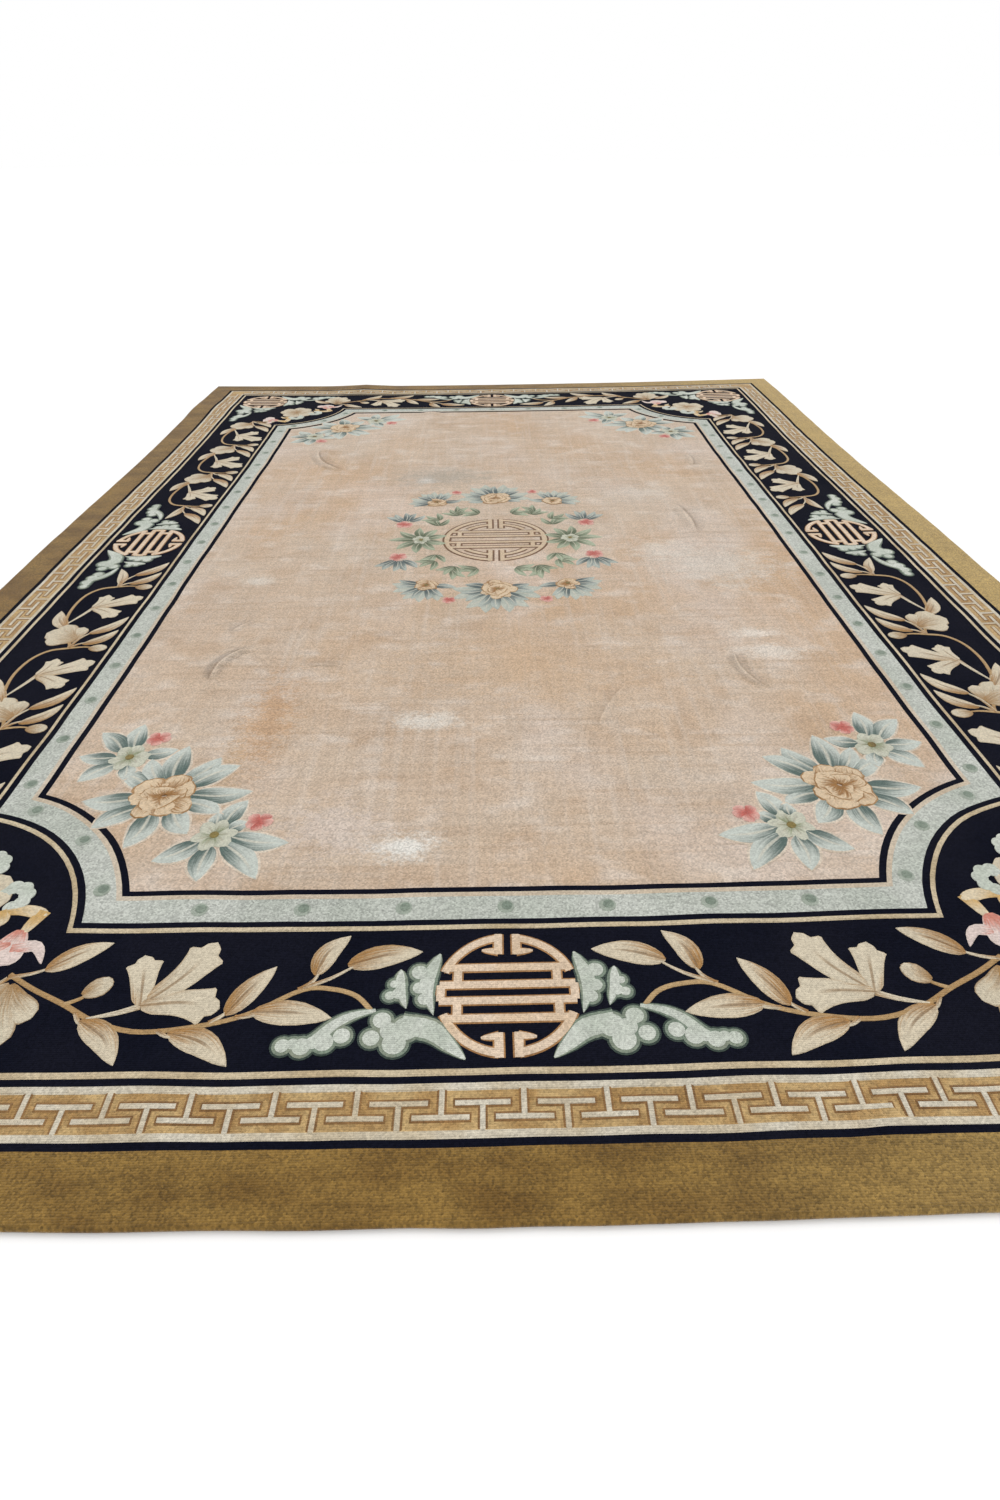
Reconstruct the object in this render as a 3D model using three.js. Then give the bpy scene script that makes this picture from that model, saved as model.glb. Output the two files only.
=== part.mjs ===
// A carved silk pile rug, lying flat: one woven piece with a plain edge, a fret band, a wide border, a guard
// band and a field with notched corners. Millimetres, +Z up, origin at the middle of the underside.
import * as THREE from "three";

// Overall sizes
const WIDTH = 3050;
const LENGTH = 4350;
const THICKNESS = 11;

// How the cloth lies: the wefts bow towards the near end and more so at the far end, where the corners
// flare out, and the sides wander a little
const WEFT_BOW = 30;
const FAR_BOW = 25;
const FAR_FLARE = 12;
const FAR_START = 0.45;
const SIDE_WANDER = 3;
const WANDER_WAVES = 2.5;

// The edge is rounded over, and each band meets the next in a carved slope
const EDGE_ROUND = 4;
const CARVED_SLOPE = 2.5;

// The bands from the rug's edge to its field: how far in each starts, and its pile's rise over THICKNESS
const BANDS = [
  { name: "plain edge", inset: 0, rise: 0, notched: false },
  { name: "edge line", inset: 100, rise: -1.5, notched: false },
  { name: "outer fret guard", inset: 110, rise: 0.5, notched: false },
  { name: "fret ground", inset: 122, rise: -1, notched: false },
  { name: "inner fret guard", inset: 180, rise: 0.5, notched: false },
  { name: "fret line", inset: 192, rise: -1.5, notched: false },
  { name: "border's outer stripe", inset: 202, rise: 0.5, notched: false },
  { name: "border ground", inset: 213, rise: -1, notched: false },
  { name: "border's inner stripe", inset: 475, rise: 0.5, notched: true },
  { name: "guard line", inset: 485, rise: -1.5, notched: true },
  { name: "guard band", inset: 496, rise: 0, notched: true },
  { name: "guard stripe", inset: 549, rise: 0.5, notched: true },
  { name: "field line", inset: 561, rise: -1.5, notched: true },
  { name: "field", inset: 572, rise: 0, notched: true },
];
const insetOf = (name) => BANDS.find((band) => band.name === name).inset;
const FIELD_INSET = insetOf("field");
const BORDER_INSET = insetOf("border ground");

// The field's corners are cut by an arc whose centre lies outside the field
const NOTCH_RADIUS = 445;
const NOTCH_BEYOND = 147;
const PLAIN_CORNER = 270;

// How finely a ring round the rug is divided, and how many rings cross the field
const LONG_STEPS = 16;
const SHORT_STEPS = 10;
const CORNER_STEPS = 8;
const FIELD_RINGS = 8;
const LAST_RING_SHARE = 0.06;

// Soft swells where the cloth stands off the floor: each is a mound with a long and a short reach
const SWELLS = [
  { x: -700, y: -765, turn: 53, long: 260, short: 150, height: 5 },
  { x: -715, y: 880, turn: -65, long: 300, short: 150, height: 4 },
  { x: 710, y: 130, turn: 79, long: 480, short: 160, height: 4 },
  { x: 715, y: -765, turn: 35, long: 240, short: 160, height: 5 },
  { x: -690, y: 2120, turn: 90, long: 240, short: 200, height: 6 },
  { x: -1480, y: 1690, turn: 10, long: 260, short: 220, height: 6 },
];

const halfWidth = WIDTH / 2;
const halfLength = LENGTH / 2;

// One corner of a ring in the quadrant where x and y are positive, from the long side to the short side.
function cornerPoints(inset, notched) {
  const x = halfWidth - inset;
  const y = halfLength - inset;
  const steps = Array.from({ length: CORNER_STEPS + 1 }, (_, i) => i / CORNER_STEPS);
  if (!notched) {
    const run = (t) => PLAIN_CORNER * Math.max(0, 1 - 2 * t);
    return steps.map((t) => new THREE.Vector2(x - run(1 - t), y - run(t)));
  }
  const outside = FIELD_INSET - inset;
  const radius = NOTCH_RADIUS - outside;
  const centreX = x - outside + NOTCH_BEYOND;
  const centreY = y - outside + NOTCH_BEYOND;
  const first = Math.acos((NOTCH_BEYOND - outside) / radius);
  return steps.map((t) => {
    const turn = Math.PI + THREE.MathUtils.lerp(first, Math.PI / 2 - first, t);
    return new THREE.Vector2(centreX + radius * Math.cos(turn), centreY + radius * Math.sin(turn));
  });
}

// A whole ring, counter-clockwise from the long side at positive x.
function ringPoints(inset, notched) {
  const base = cornerPoints(inset, notched);
  const mirrored = (sx, sy) => base.map((p) => new THREE.Vector2(sx * p.x, sy * p.y));
  const corners = [
    mirrored(1, 1),
    mirrored(-1, 1).reverse(),
    mirrored(-1, -1),
    mirrored(1, -1).reverse(),
  ];
  const points = [];
  corners.forEach((corner, i) => {
    const next = corners[(i + 1) % corners.length];
    const steps = i % 2 === 0 ? SHORT_STEPS : LONG_STEPS;
    points.push(...corner);
    for (let k = 1; k < steps; k += 1) {
      points.push(corner.at(-1).clone().lerp(next[0], k / steps));
    }
  });
  return points;
}

// A ring drawn in towards the field's middle line; share is 1 at the field's edge and 0 on that line.
function drawnIn(points, share) {
  const middleLine = halfLength - halfWidth;
  return points.map((p) => {
    const target = new THREE.Vector2(0, THREE.MathUtils.clamp(p.y, -middleLine, middleLine));
    return target.lerp(p, share);
  });
}

// How far the cloth stands off the floor at a place on the plan.
function swellHeight(x, y) {
  return SWELLS.reduce((sum, swell) => {
    const turn = THREE.MathUtils.degToRad(swell.turn);
    const dx = x - swell.x;
    const dy = y - swell.y;
    const along = (dx * Math.cos(turn) + dy * Math.sin(turn)) / swell.long;
    const across = (dy * Math.cos(turn) - dx * Math.sin(turn)) / swell.short;
    const near = Math.max(0, 1 - along * along - across * across);
    return sum + swell.height * near * near;
  }, 0);
}

// A place on the woven plan, moved to where the cloth lies.
function laid(point, height) {
  const across = point.x / halfWidth;
  const along = point.y / halfLength;
  const far = THREE.MathUtils.smoothstep(along, FAR_START, 1);
  const wander = SIDE_WANDER * Math.cos(Math.PI * WANDER_WAVES * along);
  const x = point.x + across * (wander + FAR_FLARE * far);
  const y = point.y - (WEFT_BOW + FAR_BOW * far) * (1 - across * across);
  return new THREE.Vector3(x, y, height + swellHeight(point.x, point.y));
}

// The rings of the underside, from the middle of the rug out to its edge.
function undersideRings() {
  const field = ringPoints(FIELD_INSET, true);
  const rings = fieldShares().reverse().map((share) => drawnIn(field, share));
  rings.push(field, ringPoints(BORDER_INSET, false), ringPoints(EDGE_ROUND, false));
  return rings.map((points) => points.map((p) => laid(p, 0)));
}

// The rings of the pile, from the rounded edge across every band to the middle of the field.
function pileRings() {
  const rings = [{ inset: 0, notched: false, height: THICKNESS - 2 * EDGE_ROUND }];
  rings.push({ inset: 0, notched: false, height: THICKNESS - EDGE_ROUND });
  BANDS.forEach((band, i) => {
    const start = i === 0 ? EDGE_ROUND : band.inset + CARVED_SLOPE / 2;
    const height = THICKNESS + band.rise;
    rings.push({ inset: start, notched: band.notched, height });
    if (i + 1 < BANDS.length) {
      rings.push({ inset: BANDS[i + 1].inset - CARVED_SLOPE / 2, notched: BANDS[i + 1].notched, height });
    }
  });
  const banded = rings.map((r) => ringPoints(r.inset, r.notched).map((p) => laid(p, r.height)));
  const field = ringPoints(FIELD_INSET, true);
  const inner = fieldShares().map((share) => drawnIn(field, share).map((p) => laid(p, THICKNESS)));
  return [...banded, ...inner];
}

// The shares at which the field's rings are drawn in, from just inside its edge to its middle.
function fieldShares() {
  return Array.from({ length: FIELD_RINGS }, (_, i) => {
    return THREE.MathUtils.lerp(1, LAST_RING_SHARE, (i + 1) / FIELD_RINGS);
  });
}

// A closed body through rings of like count, capped at both ends.
function closedBody(rings) {
  const count = rings[0].length;
  const index = [];
  for (let r = 0; r + 1 < rings.length; r += 1) {
    for (let i = 0; i < count; i += 1) {
      const a = r * count + i;
      const b = r * count + ((i + 1) % count);
      index.push(a, b, a + count, b, b + count, a + count);
    }
  }
  const capOf = (ring) => THREE.ShapeUtils.triangulateShape(ring.map((p) => new THREE.Vector2(p.x, p.y)), []);
  capOf(rings[0]).forEach(([a, b, c]) => index.push(c, b, a));
  const last = (rings.length - 1) * count;
  capOf(rings.at(-1)).forEach(([a, b, c]) => index.push(last + a, last + b, last + c));

  const geometry = new THREE.BufferGeometry().setFromPoints(rings.flat());
  geometry.setIndex(index);
  return geometry;
}

function makeRug() {
  const geometry = closedBody([...undersideRings(), ...pileRings()]);
  geometry.computeBoundingBox();
  const middle = geometry.boundingBox.getCenter(new THREE.Vector3());
  geometry.translate(-middle.x, -middle.y, 0);
  geometry.computeVertexNormals();
  const silk = new THREE.MeshStandardMaterial({ color: 0xcdb79c, roughness: 0.62, metalness: 0 });
  const rug = new THREE.Mesh(geometry, silk);
  rug.name = "rug";
  return rug;
}

const part = new THREE.Group();
part.add(makeRug());

export default part;
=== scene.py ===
"""A carved silk rug with a fret edge, a vine border and a notched field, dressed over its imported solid."""
import logging
import math
import random
from dataclasses import dataclass, field
from enum import Enum
from typing import Callable, Iterable, Sequence

import bmesh
import bpy
from mathutils import Matrix, Vector, noise


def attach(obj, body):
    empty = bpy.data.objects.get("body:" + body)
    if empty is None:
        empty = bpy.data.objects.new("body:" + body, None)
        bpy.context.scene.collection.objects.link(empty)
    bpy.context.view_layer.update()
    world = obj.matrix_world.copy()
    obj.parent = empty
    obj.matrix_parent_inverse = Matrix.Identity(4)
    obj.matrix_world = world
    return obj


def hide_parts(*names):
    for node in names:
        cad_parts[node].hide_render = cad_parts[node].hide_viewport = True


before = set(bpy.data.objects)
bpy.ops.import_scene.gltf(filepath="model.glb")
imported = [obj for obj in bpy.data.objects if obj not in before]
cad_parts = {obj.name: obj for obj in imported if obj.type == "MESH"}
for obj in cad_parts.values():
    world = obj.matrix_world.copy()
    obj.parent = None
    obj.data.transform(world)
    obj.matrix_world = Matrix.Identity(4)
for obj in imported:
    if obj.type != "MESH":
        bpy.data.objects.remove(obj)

logging.basicConfig(level=logging.INFO, format="%(message)s")
log = logging.getLogger("rug")

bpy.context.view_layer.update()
BODY = "root"
MM = 0.001

Plan = tuple[float, float]
Colour = tuple[int, int, int]
Socket = bpy.types.NodeSocket

QUARTERS = ((1, 1), (-1, 1), (-1, -1), (1, -1))


# How the cloth lies


@dataclass(frozen=True)
class Swell:
    """A soft mound or a crease where the cloth stands off the floor, in plan millimetres."""

    x: float
    y: float
    turn: float
    long: float
    short: float
    height: float

    def height_at(self, x: float, y: float) -> float:
        """The height of this swell at a place on the plan."""
        turn = math.radians(self.turn)
        dx = x - self.x
        dy = y - self.y
        along = (dx * math.cos(turn) + dy * math.sin(turn)) / self.long
        across = (dy * math.cos(turn) - dx * math.sin(turn)) / self.short
        near = max(0.0, 1.0 - along * along - across * across)
        return self.height * near * near


MOUNDS = (
    Swell(-700, -765, 53, 260, 150, 5),
    Swell(-715, 880, -65, 300, 150, 4),
    Swell(710, 130, 79, 480, 160, 4),
    Swell(715, -765, 35, 240, 160, 5),
    Swell(-690, 2120, 90, 240, 200, 6),
    Swell(-1480, 1690, 10, 260, 220, 6),
)

CREASES = (
    Swell(-700, -768, 53, 130, 34, 7),
    Swell(-765, -735, 75, 90, 30, 4),
    Swell(-712, 880, -65, 190, 36, 6),
    Swell(705, 120, 79, 420, 44, 4),
    Swell(715, -765, 35, 110, 36, 6),
    Swell(655, -800, 20, 70, 30, 4),
    Swell(-305, 1591, 20, 60, 42, 7),
    Swell(515, -2066, 25, 60, 26, 4),
    Swell(-690, 2120, 90, 80, 60, 6),
)


@dataclass(frozen=True)
class Lay:
    """The woven plan and how it lies on the floor, in millimetres."""

    half_width: float = 1525.0
    half_length: float = 2175.0
    thickness: float = 11.0
    weft_bow: float = 30.0
    far_bow: float = 25.0
    far_flare: float = 12.0
    far_start: float = 0.45
    side_wander: float = 3.0
    wander_waves: float = 2.5
    middle_drift: float = 18.0
    knot_wobble: float = 2.2
    knot_wobble_reach: float = 110.0
    knot_wobble_seed: int = 41

    def far_share(self, along: float) -> float:
        """A smooth share that grows from 0 to 1 towards the far end."""
        t = min(1.0, max(0.0, (along - self.far_start) / (1.0 - self.far_start)))
        return t * t * (3.0 - 2.0 * t)

    def swell(self, x: float, y: float) -> float:
        """How far the cloth stands off the floor at a place on the plan."""
        return sum(swell.height_at(x, y) for swell in MOUNDS + CREASES)

    def place(self, x: float, y: float, z: float, lifted: bool = True) -> Vector:
        """Where a place on the woven plan lies.

        Args:
            x: Plan place across the rug.
            y: Plan place along the rug.
            z: Height over the underside.
            lifted: Whether the swells raise it.

        Returns:
            The place in metres, in the frame of the solid.
        """
        across = x / self.half_width
        along = y / self.half_length
        far = self.far_share(along)
        wander = self.side_wander * math.cos(math.pi * self.wander_waves * along)
        bow = (self.weft_bow + self.far_bow * far) * (1.0 - across * across)
        reach = self.knot_wobble_reach
        wobble = noise.noise_vector(Vector((x / reach, y / reach, 0.5))) * self.knot_wobble
        laid_x = x + across * (wander + self.far_flare * far) + wobble.x
        drift = self.middle_drift * (1.0 - along * along) ** 2
        laid_y = y - bow - drift + self.weft_bow / 2.0 + wobble.y
        laid_z = z + (self.swell(x, y) if lifted else 0.0)
        return Vector((laid_x, laid_y, laid_z)) * MM


LAY = Lay()
noise.seed_set(LAY.knot_wobble_seed)


# Finishes


def linear(colour: Colour, share: float = 1.0) -> tuple[float, float, float, float]:
    """A display colour of 0 to 255 as linear values, times a share."""
    def one(value: float) -> float:
        v = value / 255.0
        return v / 12.92 if v <= 0.04045 else ((v + 0.055) / 1.055) ** 2.4

    return tuple(one(c) * share for c in colour) + (1.0,)


class Board:
    """A node tree with short calls that place nodes and join them."""

    def __init__(self, tree: bpy.types.NodeTree) -> None:
        """Keep the tree that the nodes go on."""
        self.tree = tree

    def node(self, kind: str, sockets: dict | None = None, **settings: object) -> bpy.types.Node:
        """Place one node.

        Args:
            kind: Blender's node type.
            sockets: Input name or number to a constant or to the output that feeds it.
            settings: Properties of the node.

        Returns:
            The node.
        """
        node = self.tree.nodes.new(kind)
        for name, value in settings.items():
            setattr(node, name, value)
        for key, value in (sockets or {}).items():
            socket = node.inputs[key]
            if isinstance(value, bpy.types.NodeSocket):
                self.tree.links.new(value, socket)
            else:
                socket.default_value = value
        return node

    def math(self, operation: str, a: object, b: object = 0.0, clamp: bool = False) -> Socket:
        """A sum of two values."""
        made = self.node("ShaderNodeMath", {0: a, 1: b}, operation=operation, use_clamp=clamp)
        return made.outputs[0]

    def mix(self, share: object, a: object, b: object, blend: str = "MIX") -> Socket:
        """A blend of two colours by a share."""
        made = self.node("ShaderNodeMix", {0: share, 6: a, 7: b}, data_type="RGBA", blend_type=blend)
        return made.outputs[2]

    def vector(self, operation: str, a: object, b: object = (0.0, 0.0, 0.0)) -> Socket:
        """A sum of two vectors, as a vector or as the one value that it gives."""
        made = self.node("ShaderNodeVectorMath", {0: a, 1: b}, operation=operation)
        return made.outputs["Value" if operation in ("DOT_PRODUCT", "LENGTH") else "Vector"]

    def span(
        self, value: object, low: float, high: float, to_low: float = 0.0, to_high: float = 1.0
    ) -> Socket:
        """A value carried smoothly from one range to another."""
        sockets = {0: value, 1: low, 2: high, 3: to_low, 4: to_high}
        return self.node("ShaderNodeMapRange", sockets, interpolation_type="SMOOTHSTEP").outputs[0]

    def noise(self, scale: Sequence[float], detail: float = 2.0, vector: object = None) -> Socket:
        """A noise over the object, with its own scale each way."""
        source = vector or self.node("ShaderNodeTexCoord").outputs["Object"]
        mapped = self.node("ShaderNodeMapping", {"Vector": source, "Scale": tuple(scale)})
        sockets = {"Vector": mapped.outputs[0], "Scale": 1.0, "Detail": detail}
        return self.node("ShaderNodeTexNoise", sockets).outputs[0]

    def attribute(self, name: str) -> Socket:
        """A named value that the mesh carries."""
        return self.node("ShaderNodeAttribute", attribute_name=name).outputs["Fac"]


@dataclass(frozen=True)
class PileWeave:
    """The knotted silk that every finish shares: knots, pile streaks and soft shading."""

    knot_mm: float = 3.39
    knot_spread: float = 0.55
    fleck: float = 0.42
    knot_share: float = 0.6
    streak: float = 0.15
    lengthwise_share: float = 0.7
    cloud: float = 0.12
    rib_height: float = 0.22
    knot_height: float = 0.7
    fibre_height: float = 0.9
    fibre_scale: tuple[float, ...] = (260.0, 420.0, 260.0)
    streak_scale: tuple[float, ...] = (5.0, 75.0, 5.0)
    lengthwise_scale: tuple[float, ...] = (38.0, 3.0, 3.0)
    cloud_scale: tuple[float, ...] = (3.2, 2.6, 3.0)

    def group(self) -> bpy.types.NodeTree:
        """The shared node group.

        Returns:
            A group that takes a colour and gives it back with knots and streaks, and a height for a bump.
        """
        name = "silk_pile_weave"
        if name in bpy.data.node_groups:
            return bpy.data.node_groups[name]
        tree = bpy.data.node_groups.new(name, "ShaderNodeTree")
        tree.interface.new_socket("Colour", in_out="INPUT", socket_type="NodeSocketColor")
        tree.interface.new_socket("Contrast", in_out="INPUT", socket_type="NodeSocketFloat")
        tree.interface.new_socket("Colour", in_out="OUTPUT", socket_type="NodeSocketColor")
        tree.interface.new_socket("Height", in_out="OUTPUT", socket_type="NodeSocketFloat")
        board = Board(tree)
        given = board.node("NodeGroupInput")
        place = board.node("ShaderNodeTexCoord").outputs["Object"]
        knots_per_metre = 1.0 / (self.knot_mm * MM)
        knot = board.node(
            "ShaderNodeTexVoronoi",
            {"Vector": place, "Scale": knots_per_metre, "Randomness": self.knot_spread},
            voronoi_dimensions="2D",
        )
        along = board.node("ShaderNodeSeparateXYZ", {0: place}).outputs["Y"]
        wefts = board.math("SINE", board.math("MULTIPLY", along, math.tau * knots_per_metre))
        fibre = board.noise(self.fibre_scale, 2.0, place)
        streak = board.noise(self.streak_scale, 3.0, place)
        lengthwise = board.noise(self.lengthwise_scale, 3.0, place)
        cloud = board.noise(self.cloud_scale, 4.0, place)
        tone = board.node("ShaderNodeSeparateColor", {0: knot.outputs["Color"]}).outputs[0]
        parts = (
            (tone, self.fleck * self.knot_share),
            (fibre, self.fleck),
            (streak, self.streak),
            (lengthwise, self.streak * self.lengthwise_share),
            (cloud, self.cloud),
        )
        total: object = 1.0
        for value, amount in parts:
            centred = board.math("MULTIPLY", board.math("SUBTRACT", value, 0.5), amount)
            total = board.math("ADD", total, board.math("MULTIPLY", centred, given.outputs["Contrast"]))
        shade = board.node("ShaderNodeCombineColor", {0: total, 1: total, 2: total}).outputs[0]
        colour = board.mix(1.0, given.outputs["Colour"], shade, "MULTIPLY")
        ribs = board.math("MULTIPLY", wefts, self.rib_height)
        sunk = board.math("MULTIPLY", knot.outputs["Distance"], self.knot_height)
        fibres = board.math("MULTIPLY", fibre, self.fibre_height)
        height = board.math("ADD", board.math("SUBTRACT", ribs, sunk), fibres)
        board.node("NodeGroupOutput", {"Colour": colour, "Height": height})
        return tree


@dataclass(frozen=True)
class SilkFinish:
    """A knotted silk of one colour that drifts towards a second."""

    name: str
    colour: Colour
    drift: Colour
    drift_scale: tuple[float, float, float] = (6.0, 6.0, 6.0)
    contrast: float = 1.0
    roughness: float = 0.62
    sheen: float = 0.12
    gloss: float = 0.15

    LIGHT_SHARE = 0.94
    DRIFT_RANGE = (0.35, 0.68)
    BUMP_STRENGTH = 0.85
    BUMP_HEIGHT = 0.0018
    SHEEN_ROUGHNESS = 0.4

    def tint(self, board: Board) -> Socket:
        """The colour before the weave is laid over it."""
        share = board.span(board.noise(self.drift_scale, 3.0), *self.DRIFT_RANGE)
        return board.mix(share, linear(self.colour, self.LIGHT_SHARE), linear(self.drift, self.LIGHT_SHARE))

    def relief(self, board: Board) -> Socket | None:
        """A normal under the weave's own, where the finish has one."""
        return None

    def material(self) -> bpy.types.Material:
        """The finish as a material, built once."""
        if self.name in bpy.data.materials:
            return bpy.data.materials[self.name]
        made = bpy.data.materials.new(self.name)
        made.use_nodes = True
        made.node_tree.nodes.clear()
        board = Board(made.node_tree)
        weave = board.node("ShaderNodeGroup", node_tree=PileWeave().group())
        weave.inputs["Contrast"].default_value = self.contrast
        board.tree.links.new(self.tint(board), weave.inputs["Colour"])
        bump = board.node(
            "ShaderNodeBump",
            {
                "Height": weave.outputs["Height"],
                "Strength": self.BUMP_STRENGTH,
                "Distance": self.BUMP_HEIGHT,
            },
        )
        relief = self.relief(board)
        if relief:
            board.tree.links.new(relief, bump.inputs["Normal"])
        shader = board.node(
            "ShaderNodeBsdfPrincipled",
            {
                "Base Color": weave.outputs["Colour"],
                "Roughness": self.roughness,
                "Specular IOR Level": self.gloss,
                "Sheen Weight": self.sheen,
                "Sheen Roughness": self.SHEEN_ROUGHNESS,
                "Normal": bump.outputs[0],
            },
        )
        board.node("ShaderNodeOutputMaterial", {"Surface": shader.outputs[0]})
        return made


@dataclass(frozen=True)
class BladeFinish(SilkFinish):
    """A silk shaded along a leaf or petal: colour is the base, drift the tip."""

    rib: Colour = (120, 90, 55)
    rib_share: float = 0.6
    rib_reach: float = 0.75
    # Rim colour at the edges: partly an outline, partly painted light and shade of the carved edge.
    rim: Colour = (150, 120, 80)
    rim_share: float = 0.5
    base_end: float = 0.05
    tip_start: float = 0.75
    lean: float = 0.2
    hatch: float = 0.35

    STRANDS_ALONG = 2.5
    STRANDS_ACROSS = 9.0
    TONE_SHARE = 0.3
    RIB_EDGE = (0.05, 0.16)
    RIB_FADE = 0.6
    RIM_EDGE = (0.80, 0.98)

    def tint(self, board: Board) -> Socket:
        """The colour from base to tip, with fine hatching, a midrib and a rim colour that is partly an
        outline and partly painted light and shade of the carved edge.
        """
        along = board.attribute("along")
        across = board.attribute("across")
        tone = board.attribute("tone")
        far = board.math("MULTIPLY", along, self.STRANDS_ALONG)
        wide = board.math("MULTIPLY", across, self.STRANDS_ACROSS)
        strands = board.node("ShaderNodeCombineXYZ", {0: far, 1: wide, 2: tone}).outputs[0]
        fine = board.noise((1.0, 1.0, 30.0), 2.0, strands)
        spread = board.math("MULTIPLY", board.math("SUBTRACT", fine, 0.5), self.hatch * 2.0)
        leaning = board.math("MULTIPLY", across, self.lean)
        toned = board.math("MULTIPLY", board.math("SUBTRACT", tone, 0.5), self.TONE_SHARE)
        place = board.math("ADD", board.math("ADD", along, spread), board.math("ADD", leaning, toned))
        share = board.span(place, self.base_end, self.tip_start)
        body = board.mix(share, linear(self.colour, self.LIGHT_SHARE), linear(self.drift, self.LIGHT_SHARE))
        aside = board.math("ABSOLUTE", across)
        middle = board.span(aside, *self.RIB_EDGE, 1.0, 0.0)
        fading = board.span(along, self.rib_reach * self.RIB_FADE, self.rib_reach, 1.0, 0.0)
        ribbed = board.math("MULTIPLY", board.math("MULTIPLY", middle, fading), self.rib_share)
        body = board.mix(ribbed, body, linear(self.rib, self.LIGHT_SHARE))
        # Rim colour at the edges, partly painted light and shade of the carved edge.
        rim_outline_and_shading = board.math("MULTIPLY", board.span(aside, *self.RIM_EDGE), self.rim_share)
        return board.mix(rim_outline_and_shading, body, linear(self.rim, self.LIGHT_SHARE))


@dataclass(frozen=True)
class Stain:
    """A paler or darker place on the field, in plan millimetres, most of them faded, soiled or worn."""

    x: float
    y: float
    wide: float
    tall: float
    colour: Colour
    share: float


STAINS = (
    Stain(-547, -1060, 70, 190, (192, 152, 112), 0.75),
    Stain(-600, -1290, 40, 160, (196, 166, 132), 0.6),
    Stain(-265, 598, 50, 45, (236, 232, 226), 1.0),
    Stain(-197, -1496, 70, 40, (228, 224, 216), 1.0),
    Stain(-170, -1069, 90, 40, (224, 218, 208), 0.8),
    Stain(-330, -1440, 120, 90, (214, 200, 190), 0.6),
    Stain(-736, -308, 60, 40, (224, 218, 208), 0.8),
    Stain(-200, 640, 200, 110, (172, 161, 146), 0.8),
    Stain(714, -247, 200, 160, (212, 202, 190), 0.7),
    Stain(544, -119, 120, 90, (216, 206, 194), 0.6),
    Stain(560, 420, 160, 120, (210, 198, 184), 0.6),
    # Two pale patches that lie along the crease near (715, -765).
    Stain(704, -688, 75, 36, (226, 216, 204), 0.8),
    Stain(712, -791, 110, 40, (224, 214, 202), 0.8),
    Stain(60, -820, 420, 200, (202, 172, 140), 0.55),
    Stain(-620, -420, 240, 200, (198, 172, 146), 0.45),
)


@dataclass(frozen=True)
class Mottle:
    """An uneven fading all over the field."""

    scale: tuple[float, float, float]
    colour: Colour
    share: float
    low: float = 0.48
    high: float = 0.74


MOTTLES = (
    Mottle((1.5, 1.1, 1.0), (198, 164, 128), 0.8, 0.44, 0.68),
    Mottle((2.2, 1.7, 1.4), (216, 200, 188), 0.65, 0.46, 0.7),
    Mottle((6.0, 9.0, 5.0), (188, 157, 126), 0.55),
    Mottle((9.0, 14.0, 7.0), (222, 210, 198), 0.55),
    Mottle((1.8, 55.0, 3.0), (186, 160, 134), 0.55),
    Mottle((42.0, 2.0, 3.0), (214, 200, 186), 0.35),
)


@dataclass(frozen=True)
class Crease:
    """A sharp crease in the field between two plan places, bowed to its left by a share of its length."""

    start: Plan
    end: Plan
    bow: float
    width: float = 26.0
    share: float = 1.0


SHARP_CREASES = (
    Crease((-736, -895), (-655, -724), 0.16, 30.0),
    Crease((-500, -806), (-396, -812), 0.02, 20.0, 0.5),
    Crease((622, -776), (668, -962), -0.12, 28.0, 0.8),
    Crease((220, -1120), (312, -930), 0.05, 30.0, 0.45),
    Crease((-765, 1005), (-610, 722), -0.14, 44.0),
    Crease((668, 312), (684, 4), 0.05, 46.0, 0.9),
    Crease((836, 880), (824, 724), 0.08, 40.0, 0.7),
    Crease((-745, -640), (-690, -560), 0.1, 26.0, 0.5),
)


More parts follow.
